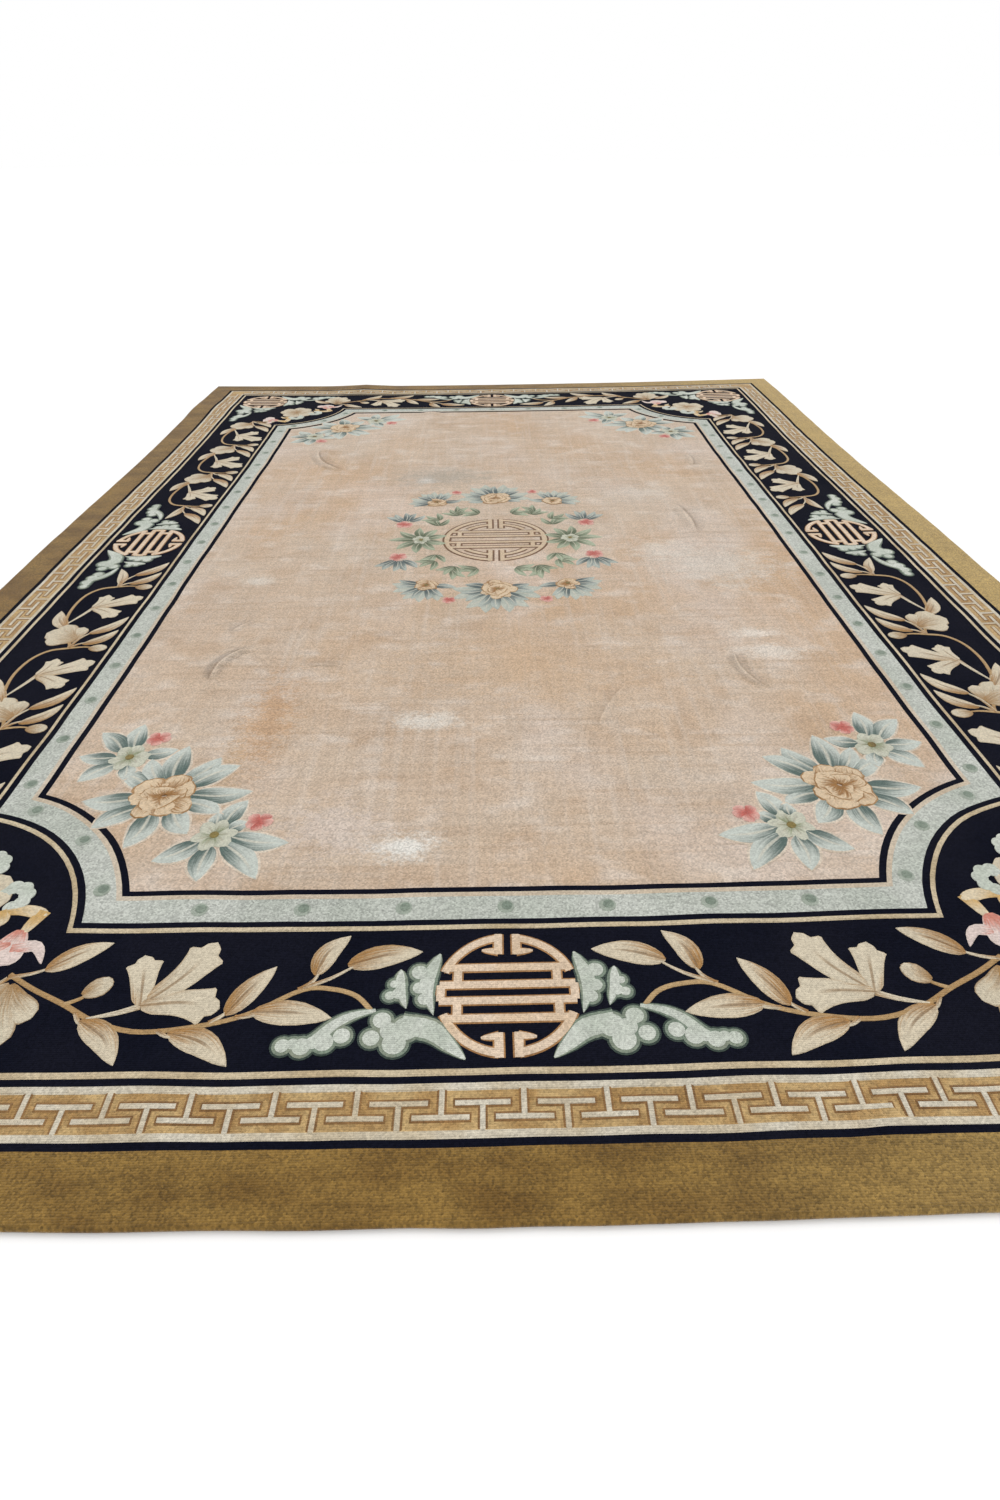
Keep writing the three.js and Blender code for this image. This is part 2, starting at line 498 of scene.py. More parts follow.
@dataclass(frozen=True)
class FieldFinish(SilkFinish):
    """The field's silk, with its fading, stains, crease bumps and the painted shade and highlight beside
    each crease.
    """

    crease_end: float = 0.25
    crease_height: float = 0.02
    crease_thin: float = 0.07
    # Painted shade on the dark side of each crease.
    shade: Colour = (112, 90, 70)
    shade_width: float = 0.35
    shade_share: float = 0.5
    # Painted highlight on the pale side of each crease.
    light: Colour = (232, 214, 194)
    light_width: float = 1.0
    light_share: float = 0.45
    stain_ragged: float = 1.7
    stain_edge: tuple[float, float] = (0.1, 1.3)

    def creases(self, board: Board) -> list[tuple[Crease, Socket, Socket]]:
        """Each sharp crease with how far to its left a place lies and how strong the crease is there."""
        place = board.node("ShaderNodeTexCoord").outputs["Object"]
        found = []
        for crease in SHARP_CREASES:
            start = LAY.place(*crease.start, LAY.thickness, lifted=False)
            run = LAY.place(*crease.end, LAY.thickness, lifted=False) - start
            ahead = run.normalized()
            left = Vector((-ahead.y, ahead.x, 0.0))
            moved = board.vector("SUBTRACT", place, start)
            aside = board.vector("DOT_PRODUCT", moved, left)
            along = board.math("DIVIDE", board.vector("DOT_PRODUCT", moved, ahead), run.length)
            arch = board.math("MULTIPLY", along, board.math("SUBTRACT", 1.0, along))
            off = board.math("SUBTRACT", aside, board.math("MULTIPLY", arch, 4.0 * crease.bow * run.length))
            begun = board.span(along, 0.0, self.crease_end)
            ended = board.span(along, 1.0 - self.crease_end, 1.0, 1.0, 0.0)
            ends = board.math("MULTIPLY", begun, ended)
            found.append((crease, off, board.math("MULTIPLY", ends, crease.share)))
        return found

    def relief(self, board: Board) -> Socket:
        """The normal of the sharp creases."""
        total: object = 0.0
        for crease, off, strength in self.creases(board):
            ridge = board.span(board.math("ABSOLUTE", off), 0.0, crease.width * MM, 1.0, 0.0)
            total = board.math("ADD", total, board.math("MULTIPLY", ridge, strength))
        sockets = {"Height": total, "Strength": 1.0, "Distance": self.crease_height}
        return board.node("ShaderNodeBump", sockets).outputs[0]

    def painted_crease_light(self, board: Board, colour: Socket) -> Socket:
        """Painted shade on one side of each crease and a painted highlight on the other."""
        sides = (
            (1.0, self.shade_width, self.shade, self.shade_share),
            (-1.0, self.light_width, self.light, self.light_share),
        )
        for crease, off, strength in self.creases(board):
            full = crease.width * MM
            thin = full * self.crease_thin
            for side, wide, tone, most in sides:
                away = board.math("MULTIPLY", off, side)
                rise = board.span(away, -thin, thin)
                fall = board.span(away, thin, full * wide, most, 0.0)
                share = board.math("MULTIPLY", board.math("MULTIPLY", rise, fall), strength)
                colour = board.mix(share, colour, linear(tone, self.LIGHT_SHARE))
        return colour

    def tint(self, board: Board) -> Socket:
        """The drifting field colour under its mottling, stains and the creases' painted shade and highlight.
        """
        colour = super().tint(board)
        place = board.node("ShaderNodeTexCoord").outputs["Object"]
        for mottle in MOTTLES:
            mottled = board.noise(mottle.scale, 4.0, place)
            faded = board.span(mottled, mottle.low, mottle.high, 0.0, mottle.share)
            colour = board.mix(faded, colour, linear(mottle.colour, self.LIGHT_SHARE))
        coarse = board.noise((20.0, 30.0, 10.0), 5.0, place)
        fine = board.noise((110.0, 150.0, 60.0), 3.0, place)
        ragged = board.math("SUBTRACT", board.math("ADD", coarse, fine), 1.0)
        for stain in STAINS:
            middle = LAY.place(stain.x, stain.y, LAY.thickness, lifted=False)
            moved = board.vector("SUBTRACT", place, middle)
            scaled = board.vector("MULTIPLY", moved, (1000.0 / stain.wide, 1000.0 / stain.tall, 0.0))
            away = board.vector("LENGTH", scaled)
            worn = board.math("ADD", away, board.math("MULTIPLY", ragged, self.stain_ragged))
            share = board.span(worn, *self.stain_edge, stain.share, 0.0)
            colour = board.mix(share, colour, linear(stain.colour, self.LIGHT_SHARE))
        # Painted shade and painted highlight beside each crease.
        return self.painted_crease_light(board, colour)


@dataclass(frozen=True)
class PaintedSheenEdgeFinish(SilkFinish):
    """The edge's silk, with a painted sheen that turns it yellower towards one side."""

    # Painted sheen colour, and how much of it reaches the yellower side.
    painted_sheen: Colour = (194, 166, 104)
    painted_sheen_share: float = 0.75

    def tint(self, board: Board) -> Socket:
        """The drifting colour under its painted sheen, yellower towards positive x."""
        place = board.node("ShaderNodeTexCoord").outputs["Object"]
        across = board.node("ShaderNodeSeparateXYZ", {0: place}).outputs["X"]
        # Painted sheen, growing from the middle towards positive x.
        share = board.span(across, 0.0, LAY.half_width * MM, 0.0, self.painted_sheen_share)
        return board.mix(share, super().tint(board), linear(self.painted_sheen, self.LIGHT_SHARE))


# The gold edge, with painted sheen yellower towards positive x.
GOLD = PaintedSheenEdgeFinish("gold_edge_silk", (136, 106, 52), (110, 82, 36), (7.0, 16.0, 7.0), 2.3)
BACK = SilkFinish("woven_back", (182, 166, 138), (170, 152, 122), (9.0, 9.0, 9.0), 1.4)
NAVY = SilkFinish("navy_silk", (22, 23, 34), (16, 18, 30), (5.0, 5.0, 5.0), 1.4, 0.8, 0.0, 0.02)
CREAM = SilkFinish("cream_line_silk", (206, 190, 160), (186, 166, 132), (9.0, 9.0, 9.0), 1.3)
FRET_GROUND = SilkFinish("fret_gold_silk", (192, 162, 112), (166, 130, 80), (16.0, 16.0, 16.0), 1.6)
FRET_CREAM = SilkFinish("fret_cream_silk", (210, 202, 184), (196, 182, 156), (10.0, 10.0, 10.0), 1.3)
# Brown of the fret's lines: painted shade of the carved grooves round the cream strokes.
FRET_GROOVE_SHADE = SilkFinish("fret_groove_shade_silk", (146, 110, 68), (124, 90, 54), (12.0, 12.0, 12.0), 1.2)
GUARD = SilkFinish("guard_green_silk", (193, 196, 188), (182, 187, 177), (8.0, 8.0, 8.0), 1.9)
GUARD_STRIPE = SilkFinish("guard_stripe_silk", (206, 192, 172), (196, 178, 154), (8.0, 8.0, 8.0), 1.1)
FIELD = FieldFinish("field_silk", (204, 184, 163), (200, 177, 154), (3.0, 5.0, 3.0), 1.5)

ROUNDEL_LINE = SilkFinish("roundel_brown_silk", (172, 128, 82), (150, 108, 66), (20.0, 20.0, 20.0), 1.2)
ROUNDEL_BAND = SilkFinish("roundel_cream_silk", (226, 204, 180), (216, 190, 160), (12.0, 12.0, 12.0), 1.2)
CENTRE_LINE = SilkFinish("centre_brown_silk", (118, 82, 52), (104, 72, 46), (20.0, 20.0, 20.0), 1.2)
CENTRE_BAND = SilkFinish("centre_field_silk", (212, 190, 162), (204, 180, 150), (12.0, 12.0, 12.0), 1.2)
CLOUD_LINE = SilkFinish("cloud_line_silk", (60, 74, 66), (52, 66, 60), (12.0, 12.0, 12.0), 1.0)
CLOUD_RIM = SilkFinish("cloud_green_silk", (124, 138, 122), (142, 148, 130), (16.0, 16.0, 16.0), 1.2)
CLOUD_CORE = SilkFinish("cloud_pale_silk", (206, 210, 200), (188, 195, 182), (14.0, 14.0, 14.0), 1.2)
DOT_LINE = SilkFinish("dot_line_silk", (164, 172, 160), (154, 164, 150), (12.0, 12.0, 12.0), 1.0)
DOT_CORE = SilkFinish("dot_green_silk", (134, 146, 132), (120, 134, 120), (30.0, 30.0, 30.0), 1.3)

PETAL = BladeFinish(
    "petal_green_silk", (84, 103, 97), (197, 203, 195), rib=(212, 208, 192), rib_share=0.7, rib_reach=0.9,
    rim=(214, 206, 190), rim_share=0.3, base_end=0.05, tip_start=0.76, lean=0.28,
)


# Forms


class Widths(Enum):
    """How a blade's width runs from its base to its tip, as rows of along and share."""

    LEAF = (
        (0.0, 0.12), (0.1, 0.5), (0.25, 0.88), (0.42, 1.0), (0.62, 0.86), (0.8, 0.5), (0.92, 0.2),
        (1.0, 0.0),
    )
    PETAL = ((0.0, 0.15), (0.2, 0.5), (0.45, 0.92), (0.6, 1.0), (0.75, 0.84), (0.88, 0.5), (1.0, 0.0))
    ROUND = ((0.0, 0.3), (0.25, 0.66), (0.5, 0.93), (0.68, 1.0), (0.84, 0.86), (0.94, 0.55), (1.0, 0.1))
    TOOTHED = (
        (0.0, 0.56), (0.25, 0.7), (0.5, 0.84), (0.66, 1.0), (0.74, 1.14), (0.78, 0.58), (0.9, 0.42),
        (1.0, 0.0),
    )
    STEM = ((0.0, 1.0), (1.0, 1.0))
    TAPER = ((0.0, 1.0), (0.6, 0.7), (1.0, 0.25))
    HORN = ((0.0, 1.0), (0.4, 0.9), (0.7, 0.58), (1.0, 0.06))

    def at(self, along: float) -> float:
        """The share of the full width at a place along the blade."""
        for (start, low), (end, high) in zip(self.value, self.value[1:]):
            if along <= end:
                return low + (high - low) * (along - start) / (end - start)
        return self.value[-1][1]


@dataclass(frozen=True)
class Spine:
    """A smooth curve through plan points."""

    points: tuple[Plan, ...]

    def at(self, share: float) -> Vector:
        """The place at a share of the curve from 0 to 1."""
        last = len(self.points) - 1
        scaled = min(max(share, 0.0), 1.0) * last
        start = min(int(scaled), last - 1)
        t = scaled - start
        knots = [Vector(self.points[min(max(start + k, 0), last)]) for k in (-1, 0, 1, 2)]
        a, b, c, d = knots
        square = 2.0 * a - 5.0 * b + 4.0 * c - d
        cube = 3.0 * b - a - 3.0 * c + d
        return 0.5 * (2.0 * b + (c - a) * t + square * t**2 + cube * t**3)

    def side(self, share: float) -> Vector:
        """The unit direction to the left of the curve."""
        ahead = self.at(share + 0.01) - self.at(share - 0.01)
        return Vector((-ahead.y, ahead.x)).normalized()


def bent(base: Plan, tip: Plan, bend: float) -> Spine:
    """A spine from base to tip that bows to its left by a share of its length."""
    start = Vector(base)
    run = Vector(tip) - start
    aside = Vector((-run.y, run.x))
    middle = start + run * 0.5 + aside * bend
    return Spine((base, (middle.x, middle.y), tip))


Turn = Callable[[float, float], Plan]


def same(x: float, y: float) -> Plan:
    """A plan place as it is."""
    return x, y


@dataclass
class CarvedSheet:
    """Low carved forms of one kind, gathered into one piece that lies on the ground pile."""

    name: str
    finishes: tuple[SilkFinish, ...]
    ground: float
    proud: float = 1.2
    lift: float = 0.0
    sunk: float = 2.5
    stagger: float = 0.02
    seed: int = 7
    tally: int = 0
    stagger_turns: int = 19
    least_half: float = 0.4
    disc_sides: int = 18
    sharp_deg: float = 40.0
    bm: bmesh.types.BMesh = field(default_factory=bmesh.new)

    def __post_init__(self) -> None:
        """Make the layers that the finishes read."""
        layers = self.bm.verts.layers.float
        for name in ("along", "across", "tone", "height"):
            layers.new(name)
        self.draw = random.Random(self.seed)

    def _mark(
        self, vert: bmesh.types.BMVert, along: float, across: float, tone: float, height: float
    ) -> None:
        """Write what the finishes read at a vertex, each form a little higher than the last."""
        layers = self.bm.verts.layers.float
        raised = self.lift + height + self.stagger * (self.tally % self.stagger_turns)
        for name, value in (("along", along), ("across", across), ("tone", tone), ("height", raised)):
            vert[layers[name]] = value

    def blade(
        self, spine: Spine, width: float, widths: Widths, turn: Turn = same,
        steps: tuple[int, int] = (10, 6), lift: float = 0.0, sweep: float = 0.0,
    ) -> None:
        """Add a leaf, petal or stem.

        Args:
            spine: Its middle line on the plan.
            width: Its full width.
            widths: How the width runs.
            turn: Where its plan goes on the rug.
            steps: Divisions along and across.
            lift: Extra height.
            sweep: How far its edges lie ahead of its middle, as a share of its length.
        """
        tone = self.draw.random()
        made = bmesh.ops.create_grid(self.bm, x_segments=steps[0], y_segments=steps[1], size=1.0)
        for vert in made["verts"]:
            along = (vert.co.x + 1.0) / 2.0
            across = math.sin(vert.co.y * math.pi / 2.0)
            half = max(self.least_half, width / 2.0 * widths.at(along))
            ahead = along + sweep * across * across * (1.0 - along)
            point = spine.at(ahead) + spine.side(ahead) * across * half
            x, y = turn(point.x, point.y)
            vert.co = (x, y, 0.0)
            crown = 1.0 - abs(across) ** 4
            self._mark(vert, along, across, tone, lift + self.proud * crown)
        self.tally += 1

    def stroke(self, points: Sequence[Plan], width: float, turn: Turn = same, lift: float = 0.0) -> None:
        """Add a flat stroke of even width along straight or finely divided points."""
        spine = Spine(tuple(points))
        tone = self.draw.random()
        made = bmesh.ops.create_grid(self.bm, x_segments=len(points) - 1, y_segments=3, size=1.0)
        for vert in made["verts"]:
            along = (vert.co.x + 1.0) / 2.0
            across = 1.0 if vert.co.y > 0.9 else -1.0 if vert.co.y < -0.9 else vert.co.y * 2.1
            point = spine.at(along) + spine.side(along) * across * width / 2.0
            x, y = turn(point.x, point.y)
            vert.co = (x, y, 0.0)
            crown = 0.0 if abs(across) == 1.0 else self.proud
            self._mark(vert, along, across, tone, lift + crown)
        self.tally += 1

    def disc(self, x: float, y: float, radius: float, turn: Turn = same) -> None:
        """Add a flat round form."""
        tone = self.draw.random()
        place = Matrix.Translation((x, y, 0.0))
        made = bmesh.ops.create_circle(
            self.bm, cap_ends=True, segments=self.disc_sides, radius=radius, matrix=place
        )
        for vert in made["verts"]:
            self._mark(vert, 0.7, 0.0, tone, self.proud)
            vert.co = (*turn(vert.co.x, vert.co.y), 0.0)
        self.tally += 1

    def finish(self) -> bpy.types.Object:
        """Close every form with a skirt, lay them on the rug and make the piece.

        Returns:
            The piece.
        """
        bm = self.bm
        height = bm.verts.layers.float["height"]
        tops = bm.verts[:]
        made = bmesh.ops.extrude_face_region(bm, geom=bm.faces[:], use_keep_orig=True)
        lower = [v for v in made["geom"] if isinstance(v, bmesh.types.BMVert)]
        for vert in tops:
            vert.co.z = self.ground + vert[height]
        for vert in lower:
            vert.co.z = self.ground - self.sunk
        bmesh.ops.recalc_face_normals(bm, faces=bm.faces[:])
        for vert in bm.verts:
            vert.co = LAY.place(*vert.co)
        bm.verts.layers.float.remove(height)
        piece = piece_from(bm, self.name, self.finishes, self.sharp_deg)
        log.info("%s: %d forms, %d faces", self.name, self.tally, len(piece.data.polygons))
        return piece


def piece_from(
    bm: bmesh.types.BMesh, name: str, finishes: Iterable[SilkFinish], sharp_deg: float
) -> bpy.types.Object:
    """Make a piece of the rug from a finished bmesh.

    Args:
        bm: The mesh, in metres, which is used up.
        name: The piece's name.
        finishes: One for each material number.
        sharp_deg: The angle from which an edge stays sharp.

    Returns:
        The piece, riding on the rug's body.
    """
    mesh = bpy.data.meshes.new(name)
    bm.to_mesh(mesh)
    bm.free()
    for finish in finishes:
        mesh.materials.append(finish.material())
    mesh.shade_smooth()
    mesh.set_sharp_from_angle(angle=math.radians(sharp_deg))
    piece = bpy.data.objects.new(name, mesh)
    bpy.context.scene.collection.objects.link(piece)
    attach(piece, BODY)
    return piece


# The ground pile


@dataclass(frozen=True)
class Band:
    """One band of the ground, from its inset inwards."""

    inset: float
    rise: float
    notched: bool
    finish: SilkFinish


BANDS = (
    Band(0, 0, False, GOLD),
    Band(99, -0.5, False, NAVY),
    Band(111, 0.5, False, FRET_CREAM),
    Band(122, -1, False, FRET_GROUND),
    Band(180, 0.5, False, FRET_CREAM),
    Band(191, -0.5, False, NAVY),
    Band(203, 0.5, False, CREAM),
    Band(213, -1, False, NAVY),
    Band(475, 0.5, True, CREAM),
    Band(484, -0.5, True, NAVY),
    Band(497, 0, True, GUARD),
    Band(549, 0.5, True, GUARD_STRIPE),
    Band(559, -0.5, True, NAVY),
    Band(572, 0, True, FIELD),
)
FRET_BAND = (122.0, 180.0)
BORDER_BAND = (213.0, 475.0)
GUARD_BAND = (497.0, 549.0)
FIELD_INSET = BANDS[-1].inset
LOW_PILE = LAY.thickness - 1.0
FULL_PILE = LAY.thickness


@dataclass
class GroundPile:
    """The whole rug's pile and back as one closed sheet of rings."""

    long_steps: int = 120
    short_steps: int = 76
    corner_steps: int = 14
    field_rings: int = 62
    last_share: float = 0.02
    band_step: float = 30.0
    edge_round: float = 4.0
    carved_slope: float = 2.5
    notch_radius: float = 445.0
    notch_beyond: float = 147.0
    plain_corner: float = 270.0
    sharp_deg: float = 15.0

    def corner(self, inset: float, notched: bool) -> list[Plan]:
        """A ring's corner where x and y are positive, from the long side to the short side."""
        x = LAY.half_width - inset
        y = LAY.half_length - inset
        shares = [k / self.corner_steps for k in range(self.corner_steps + 1)]
        if not notched:
            run = [self.plain_corner * max(0.0, 1.0 - 2.0 * t) for t in shares]
            return [(x - run[-1 - k], y - run[k]) for k in range(len(shares))]
        outside = FIELD_INSET - inset
        radius = self.notch_radius - outside
        first = math.acos((self.notch_beyond - outside) / radius)
        turns = [math.pi + first + (math.pi / 2.0 - 2.0 * first) * t for t in shares]
        middle = self.notch_beyond - outside
        return [(x + middle + radius * math.cos(a), y + middle + radius * math.sin(a)) for a in turns]

    def ring(self, inset: float, notched: bool) -> list[Plan]:
        """A whole ring, counter-clockwise from the long side at positive x."""
        base = self.corner(inset, notched)
        corners = []
        for number, (sx, sy) in enumerate(QUARTERS):
            turned = [(sx * x, sy * y) for x, y in base]
            corners.append(turned[::-1] if number % 2 else turned)
        points: list[Plan] = []
        for number, corner in enumerate(corners):
            ahead = corners[(number + 1) % 4][0]
            start = corner[-1]
            steps = self.long_steps if number % 2 else self.short_steps
            points.extend(corner)
            for k in range(1, steps):
                t = k / steps
                points.append((start[0] + (ahead[0] - start[0]) * t, start[1] + (ahead[1] - start[1]) * t))
        return points

    def drawn_in(self, ring: Sequence[Plan], share: float) -> list[Plan]:
        """A ring drawn in towards the field's middle line."""
        end = LAY.half_length - LAY.half_width
        placed = []
        for x, y in ring:
            middle = min(end, max(-end, y))
            placed.append((x * share, middle + (y - middle) * share))
        return placed

    def rings(self) -> list[tuple[list[Plan], float, int]]:
        """Every ring from the middle of the back round the edge to the middle of the pile.

        Returns:
            Plan points, height and the number of the band that ends at the ring.
        """
        field_edge = self.ring(FIELD_INSET, True)
        count = self.field_rings
        shares = [1.0 + (self.last_share - 1.0) * (k + 1) / count for k in range(count)]
        back = [self.drawn_in(field_edge, share) for share in shares[::-8]]
        back += [field_edge, self.ring(BORDER_BAND[0], False), self.ring(self.edge_round, False)]
        rings = [(points, 0.0, len(BANDS)) for points in back]
        for height in (LAY.thickness - 2.0 * self.edge_round, LAY.thickness - self.edge_round):
            rings.append((self.ring(0.0, False), height, 0))
        ends = [band.inset for band in BANDS[1:]]
        for number, end in enumerate(ends):
            band = BANDS[number]
            start = band.inset + (self.edge_round if number == 0 else self.carved_slope / 2.0)
            stop = end - self.carved_slope / 2.0
            parts = max(1, round((stop - start) / self.band_step))
            for k in range(parts + 1):
                inset = start + (stop - start) * k / parts
                notched = band.notched or (BANDS[number + 1].notched and k == parts)
                rings.append((self.ring(inset, notched), LAY.thickness + band.rise, number))
        last = len(BANDS) - 1
        rings.append((self.ring(FIELD_INSET + self.carved_slope / 2.0, True), LAY.thickness, last))
        rings += [(self.drawn_in(field_edge, share), LAY.thickness, last) for share in shares]
        return rings

    def build(self) -> bpy.types.Object:
        """Extrude the rings one from the next and close both ends.

        Returns:
            The piece.
        """
        rings = self.rings()
        bm = bmesh.new()
        number = bm.verts.layers.int.new("number")
        made = bmesh.ops.create_circle(bm, cap_ends=False, segments=len(rings[0][0]), radius=1.0)
        for k, vert in enumerate(made["verts"]):
            vert[number] = k
        self._put(made["verts"], number, rings[0])
        edges = bm.edges[:]
        for face in bmesh.ops.contextual_create(bm, geom=edges)["faces"]:
            face.material_index = rings[0][2]
        for ring in rings[1:]:
            grown = bmesh.ops.extrude_edge_only(bm, edges=edges)["geom"]
            verts = [g for g in grown if isinstance(g, bmesh.types.BMVert)]
            for face in (g for g in grown if isinstance(g, bmesh.types.BMFace)):
                face.material_index = ring[2]
            self._put(verts, number, ring)
            edges = [g for g in grown if isinstance(g, bmesh.types.BMEdge)]
        for face in bmesh.ops.contextual_create(bm, geom=edges)["faces"]:
            face.material_index = len(BANDS) - 1
        bmesh.ops.recalc_face_normals(bm, faces=bm.faces[:])
        bm.verts.layers.int.remove(number)
        piece = piece_from(bm, "ground_pile", [*(band.finish for band in BANDS), BACK], self.sharp_deg)
        log.info("ground_pile: %d rings, %d faces", len(rings), len(piece.data.polygons))
        return piece

    def _put(
        self, verts: Iterable[bmesh.types.BMVert], number: object, ring: tuple[list[Plan], float, int]
    ) -> None:
        """Move a ring's vertices to where the rug lies."""
        points, height, _ = ring
        for vert in verts:
            vert.co = LAY.place(*points[vert[number]], height)


# The bands' ornament


@dataclass
class FretBorder:
    """Interlocking T shapes between the two fret guards."""

    pitch: float = 123.0
    bar_share: float = 0.68
    stroke: float = 9.0
    # How far the painted groove shade shows on each side of a stroke.
    line: float = 2.6
    depths: tuple[float, float] = (0.30, 0.66)
    near_shift: float = -40.0
    corner_room: float = 1.6
    root_past: float = 2.0
    post_lift: float = 0.06

    def sides(self) -> list[tuple[float, Turn]]:
        """Each side's run and the turn that carries (run, depth from the outer guard) to the plan."""
        def end(sign: int) -> Turn:
            shift = self.near_shift if sign < 0 else 0.0
            return lambda u, d: (u + shift, sign * (LAY.half_length - FRET_BAND[0] - d))

        def side(sign: int) -> Turn:
            return lambda u, d: (sign * (LAY.half_width - FRET_BAND[0] - d), u)

        runs = []
        for sign in (-1, 1):
            runs.append((2.0 * (LAY.half_width - FRET_BAND[0]), end(sign)))
            runs.append((2.0 * (LAY.half_length - FRET_BAND[0]), side(sign)))
        return runs

    def build(self) -> list[bpy.types.Object]:
        """Lay brown lines of painted groove shade with cream strokes over them.

        Returns:
            Both pieces.
        """
        deep = FRET_BAND[1] - FRET_BAND[0]
        # Brown lines of painted groove shade under the cream strokes.
        lines = CarvedSheet("fret_groove_shade", (FRET_GROOVE_SHADE,), LOW_PILE, 0.5)
        keys = CarvedSheet("fret_keys", (FRET_CREAM,), LOW_PILE, 1.3)
        for length, turn in self.sides():
            count = 2 * round((length - 2.0 * deep) / self.pitch / 2.0) * 2 + 1
            step = (length - self.corner_room * deep) / (count + 1)
            for k in range(count):
                u = (k - (count - 1) / 2.0) * step
                from_outer = k % 2 == 0
                depth = deep * (self.depths[1] if from_outer else self.depths[0])
                root = -self.root_past if from_outer else deep + self.root_past
                half_bar = self.bar_share * step
                for sheet, wide in ((lines, self.stroke + 2.0 * self.line), (keys, self.stroke)):
                    grow = (wide - self.stroke) / 2.0
                    bar = [(u - half_bar - grow, depth), (u, depth), (u + half_bar + grow, depth)]
                    sheet.stroke(bar, wide, turn)
                    sheet.stroke([(u, root), (u, depth)], wide, turn, self.post_lift)
        return [lines.finish(), keys.finish()]


@dataclass(frozen=True)
class RoundelShape:
    """A ring broken at top and bottom, with hooks, four bars and side notches, in shares of its radius."""

    stroke: float = 0.138
    gap: float = 0.128
    bars: tuple[float, float] = (0.41, 0.13)
    post: float = 0.68
    hook_end: float = 0.63
    foot: tuple[float, float] | None = (0.36, 0.70)
    inner_ring: float = 0.0
    arc_steps: int = 14

    def strokes(self, radius: float) -> list[list[Plan]]:
        """The middle lines of all its strokes at a radius."""
        ring = 1.0 - self.stroke / 2.0
        outer, inner = self.bars
        low = 0.0 if self.inner_ring else math.asin((outer - self.stroke / 2.0) / ring)
        arcs = [(ring, low)]
        if self.inner_ring:
            arcs.append((self.inner_ring, math.asin((outer + self.stroke) / self.inner_ring)))
        lines: list[list[Plan]] = []
        for sy in (1, -1):
            half_bar = math.sqrt(1.0 - outer**2) - self.stroke / 4.0
            lines.append([(-half_bar, sy * outer), (0.0, sy * outer), (half_bar, sy * outer)])
            lines.append([(-ring, sy * inner), (0.0, sy * inner), (ring, sy * inner)])
            for sx in (1, -1):
                for reach, first in arcs:
                    last = math.acos(self.gap / reach)
                    turns = [first + (last - first) * k / self.arc_steps for k in range(self.arc_steps + 1)]
                    lines.append([(sx * reach * math.cos(a), sy * reach * math.sin(a)) for a in turns])
                top = math.sqrt(1.0 - self.gap**2)
                lines.append([(sx * self.gap, sy * top), (sx * self.gap, sy * self.hook_end)])
                lines.append([(sx * self.post, sy * outer), (sx * self.post, sy * inner)])
        for sx in (1, -1):
            end = sx * (ring - 0.02)
            lines.append([(end, inner), (end, -inner)])
        return [[(x * radius, y * radius) for x, y in line] for line in lines]

    def feet(self, radius: float) -> list[Spine]:
        """The hooks' tapered feet at a radius, if it has them."""
        if not self.foot:
            return []
        low = self.hook_end + self.stroke * 0.35
        starts = [(sx, sy, (sx * self.gap * radius, sy * low * radius)) for sx, sy in QUARTERS]
        out, up = (share * radius for share in self.foot)
        return [Spine((at, (sx * out, sy * up))) for sx, sy, at in starts]


@dataclass
class Roundels:
    """The border's roundels and the larger one at the middle of the field."""

    radius: float = 117.0
    centre_radius: float = 178.0
    line_share: float = 0.022
    centre_line_share: float = 0.036
    shape: RoundelShape = RoundelShape()
    centre_shape: RoundelShape = RoundelShape(0.115, 0.11, (0.36, 0.14), 0.7, 0.52, None, 0.72)

    def places(self) -> list[Turn]:
        """The turns that carry a roundel to each place on the border."""
        x = LAY.half_width - sum(BORDER_BAND) / 2.0
        y = LAY.half_length - sum(BORDER_BAND) / 2.0
        turns: list[Turn] = []
        for sign in (1, -1):
            turns.append(lambda u, v, s=sign: (u, s * y + v))
            turns.append(lambda u, v, s=sign: (s * x + v, u))
        for sx, sy in QUARTERS:
            turns.append(lambda u, v, a=sx, b=sy: (a * x + u, b * y + v))
        return turns

    def _draw(
        self, sheets: Sequence[CarvedSheet], shape: RoundelShape, radius: float, line_share: float,
        turn: Turn,
    ) -> None:
        """Draw one roundel, its lines under its bands."""
        for sheet, grow in zip(sheets, (line_share, -line_share)):
            wide = (shape.stroke + grow) * radius
            for points in shape.strokes(radius):
                sheet.stroke(points, wide, turn)
            for foot in shape.feet(radius):
                sheet.blade(foot, wide, Widths.TAPER, turn, (4, 4), 0.2)

    def build(self) -> list[bpy.types.Object]:
        """Draw every roundel.

        Returns:
            The line and band pieces of the border's roundels and of the centre's.
        """
        border = [
            CarvedSheet("roundel_lines", (ROUNDEL_LINE,), LOW_PILE, 0.6),
            CarvedSheet("roundel_bands", (ROUNDEL_BAND,), LOW_PILE, 0.7, 0.7),
        ]
        for turn in self.places():
            self._draw(border, self.shape, self.radius, self.line_share, turn)
        centre = [
            CarvedSheet("centre_lines", (CENTRE_LINE,), FULL_PILE, 0.4),
            CarvedSheet("centre_bands", (CENTRE_BAND,), FULL_PILE, 0.3, 0.5),
        ]
        self._draw(centre, self.centre_shape, self.centre_radius, self.centre_line_share, same)
        return [sheet.finish() for sheet in border + centre]


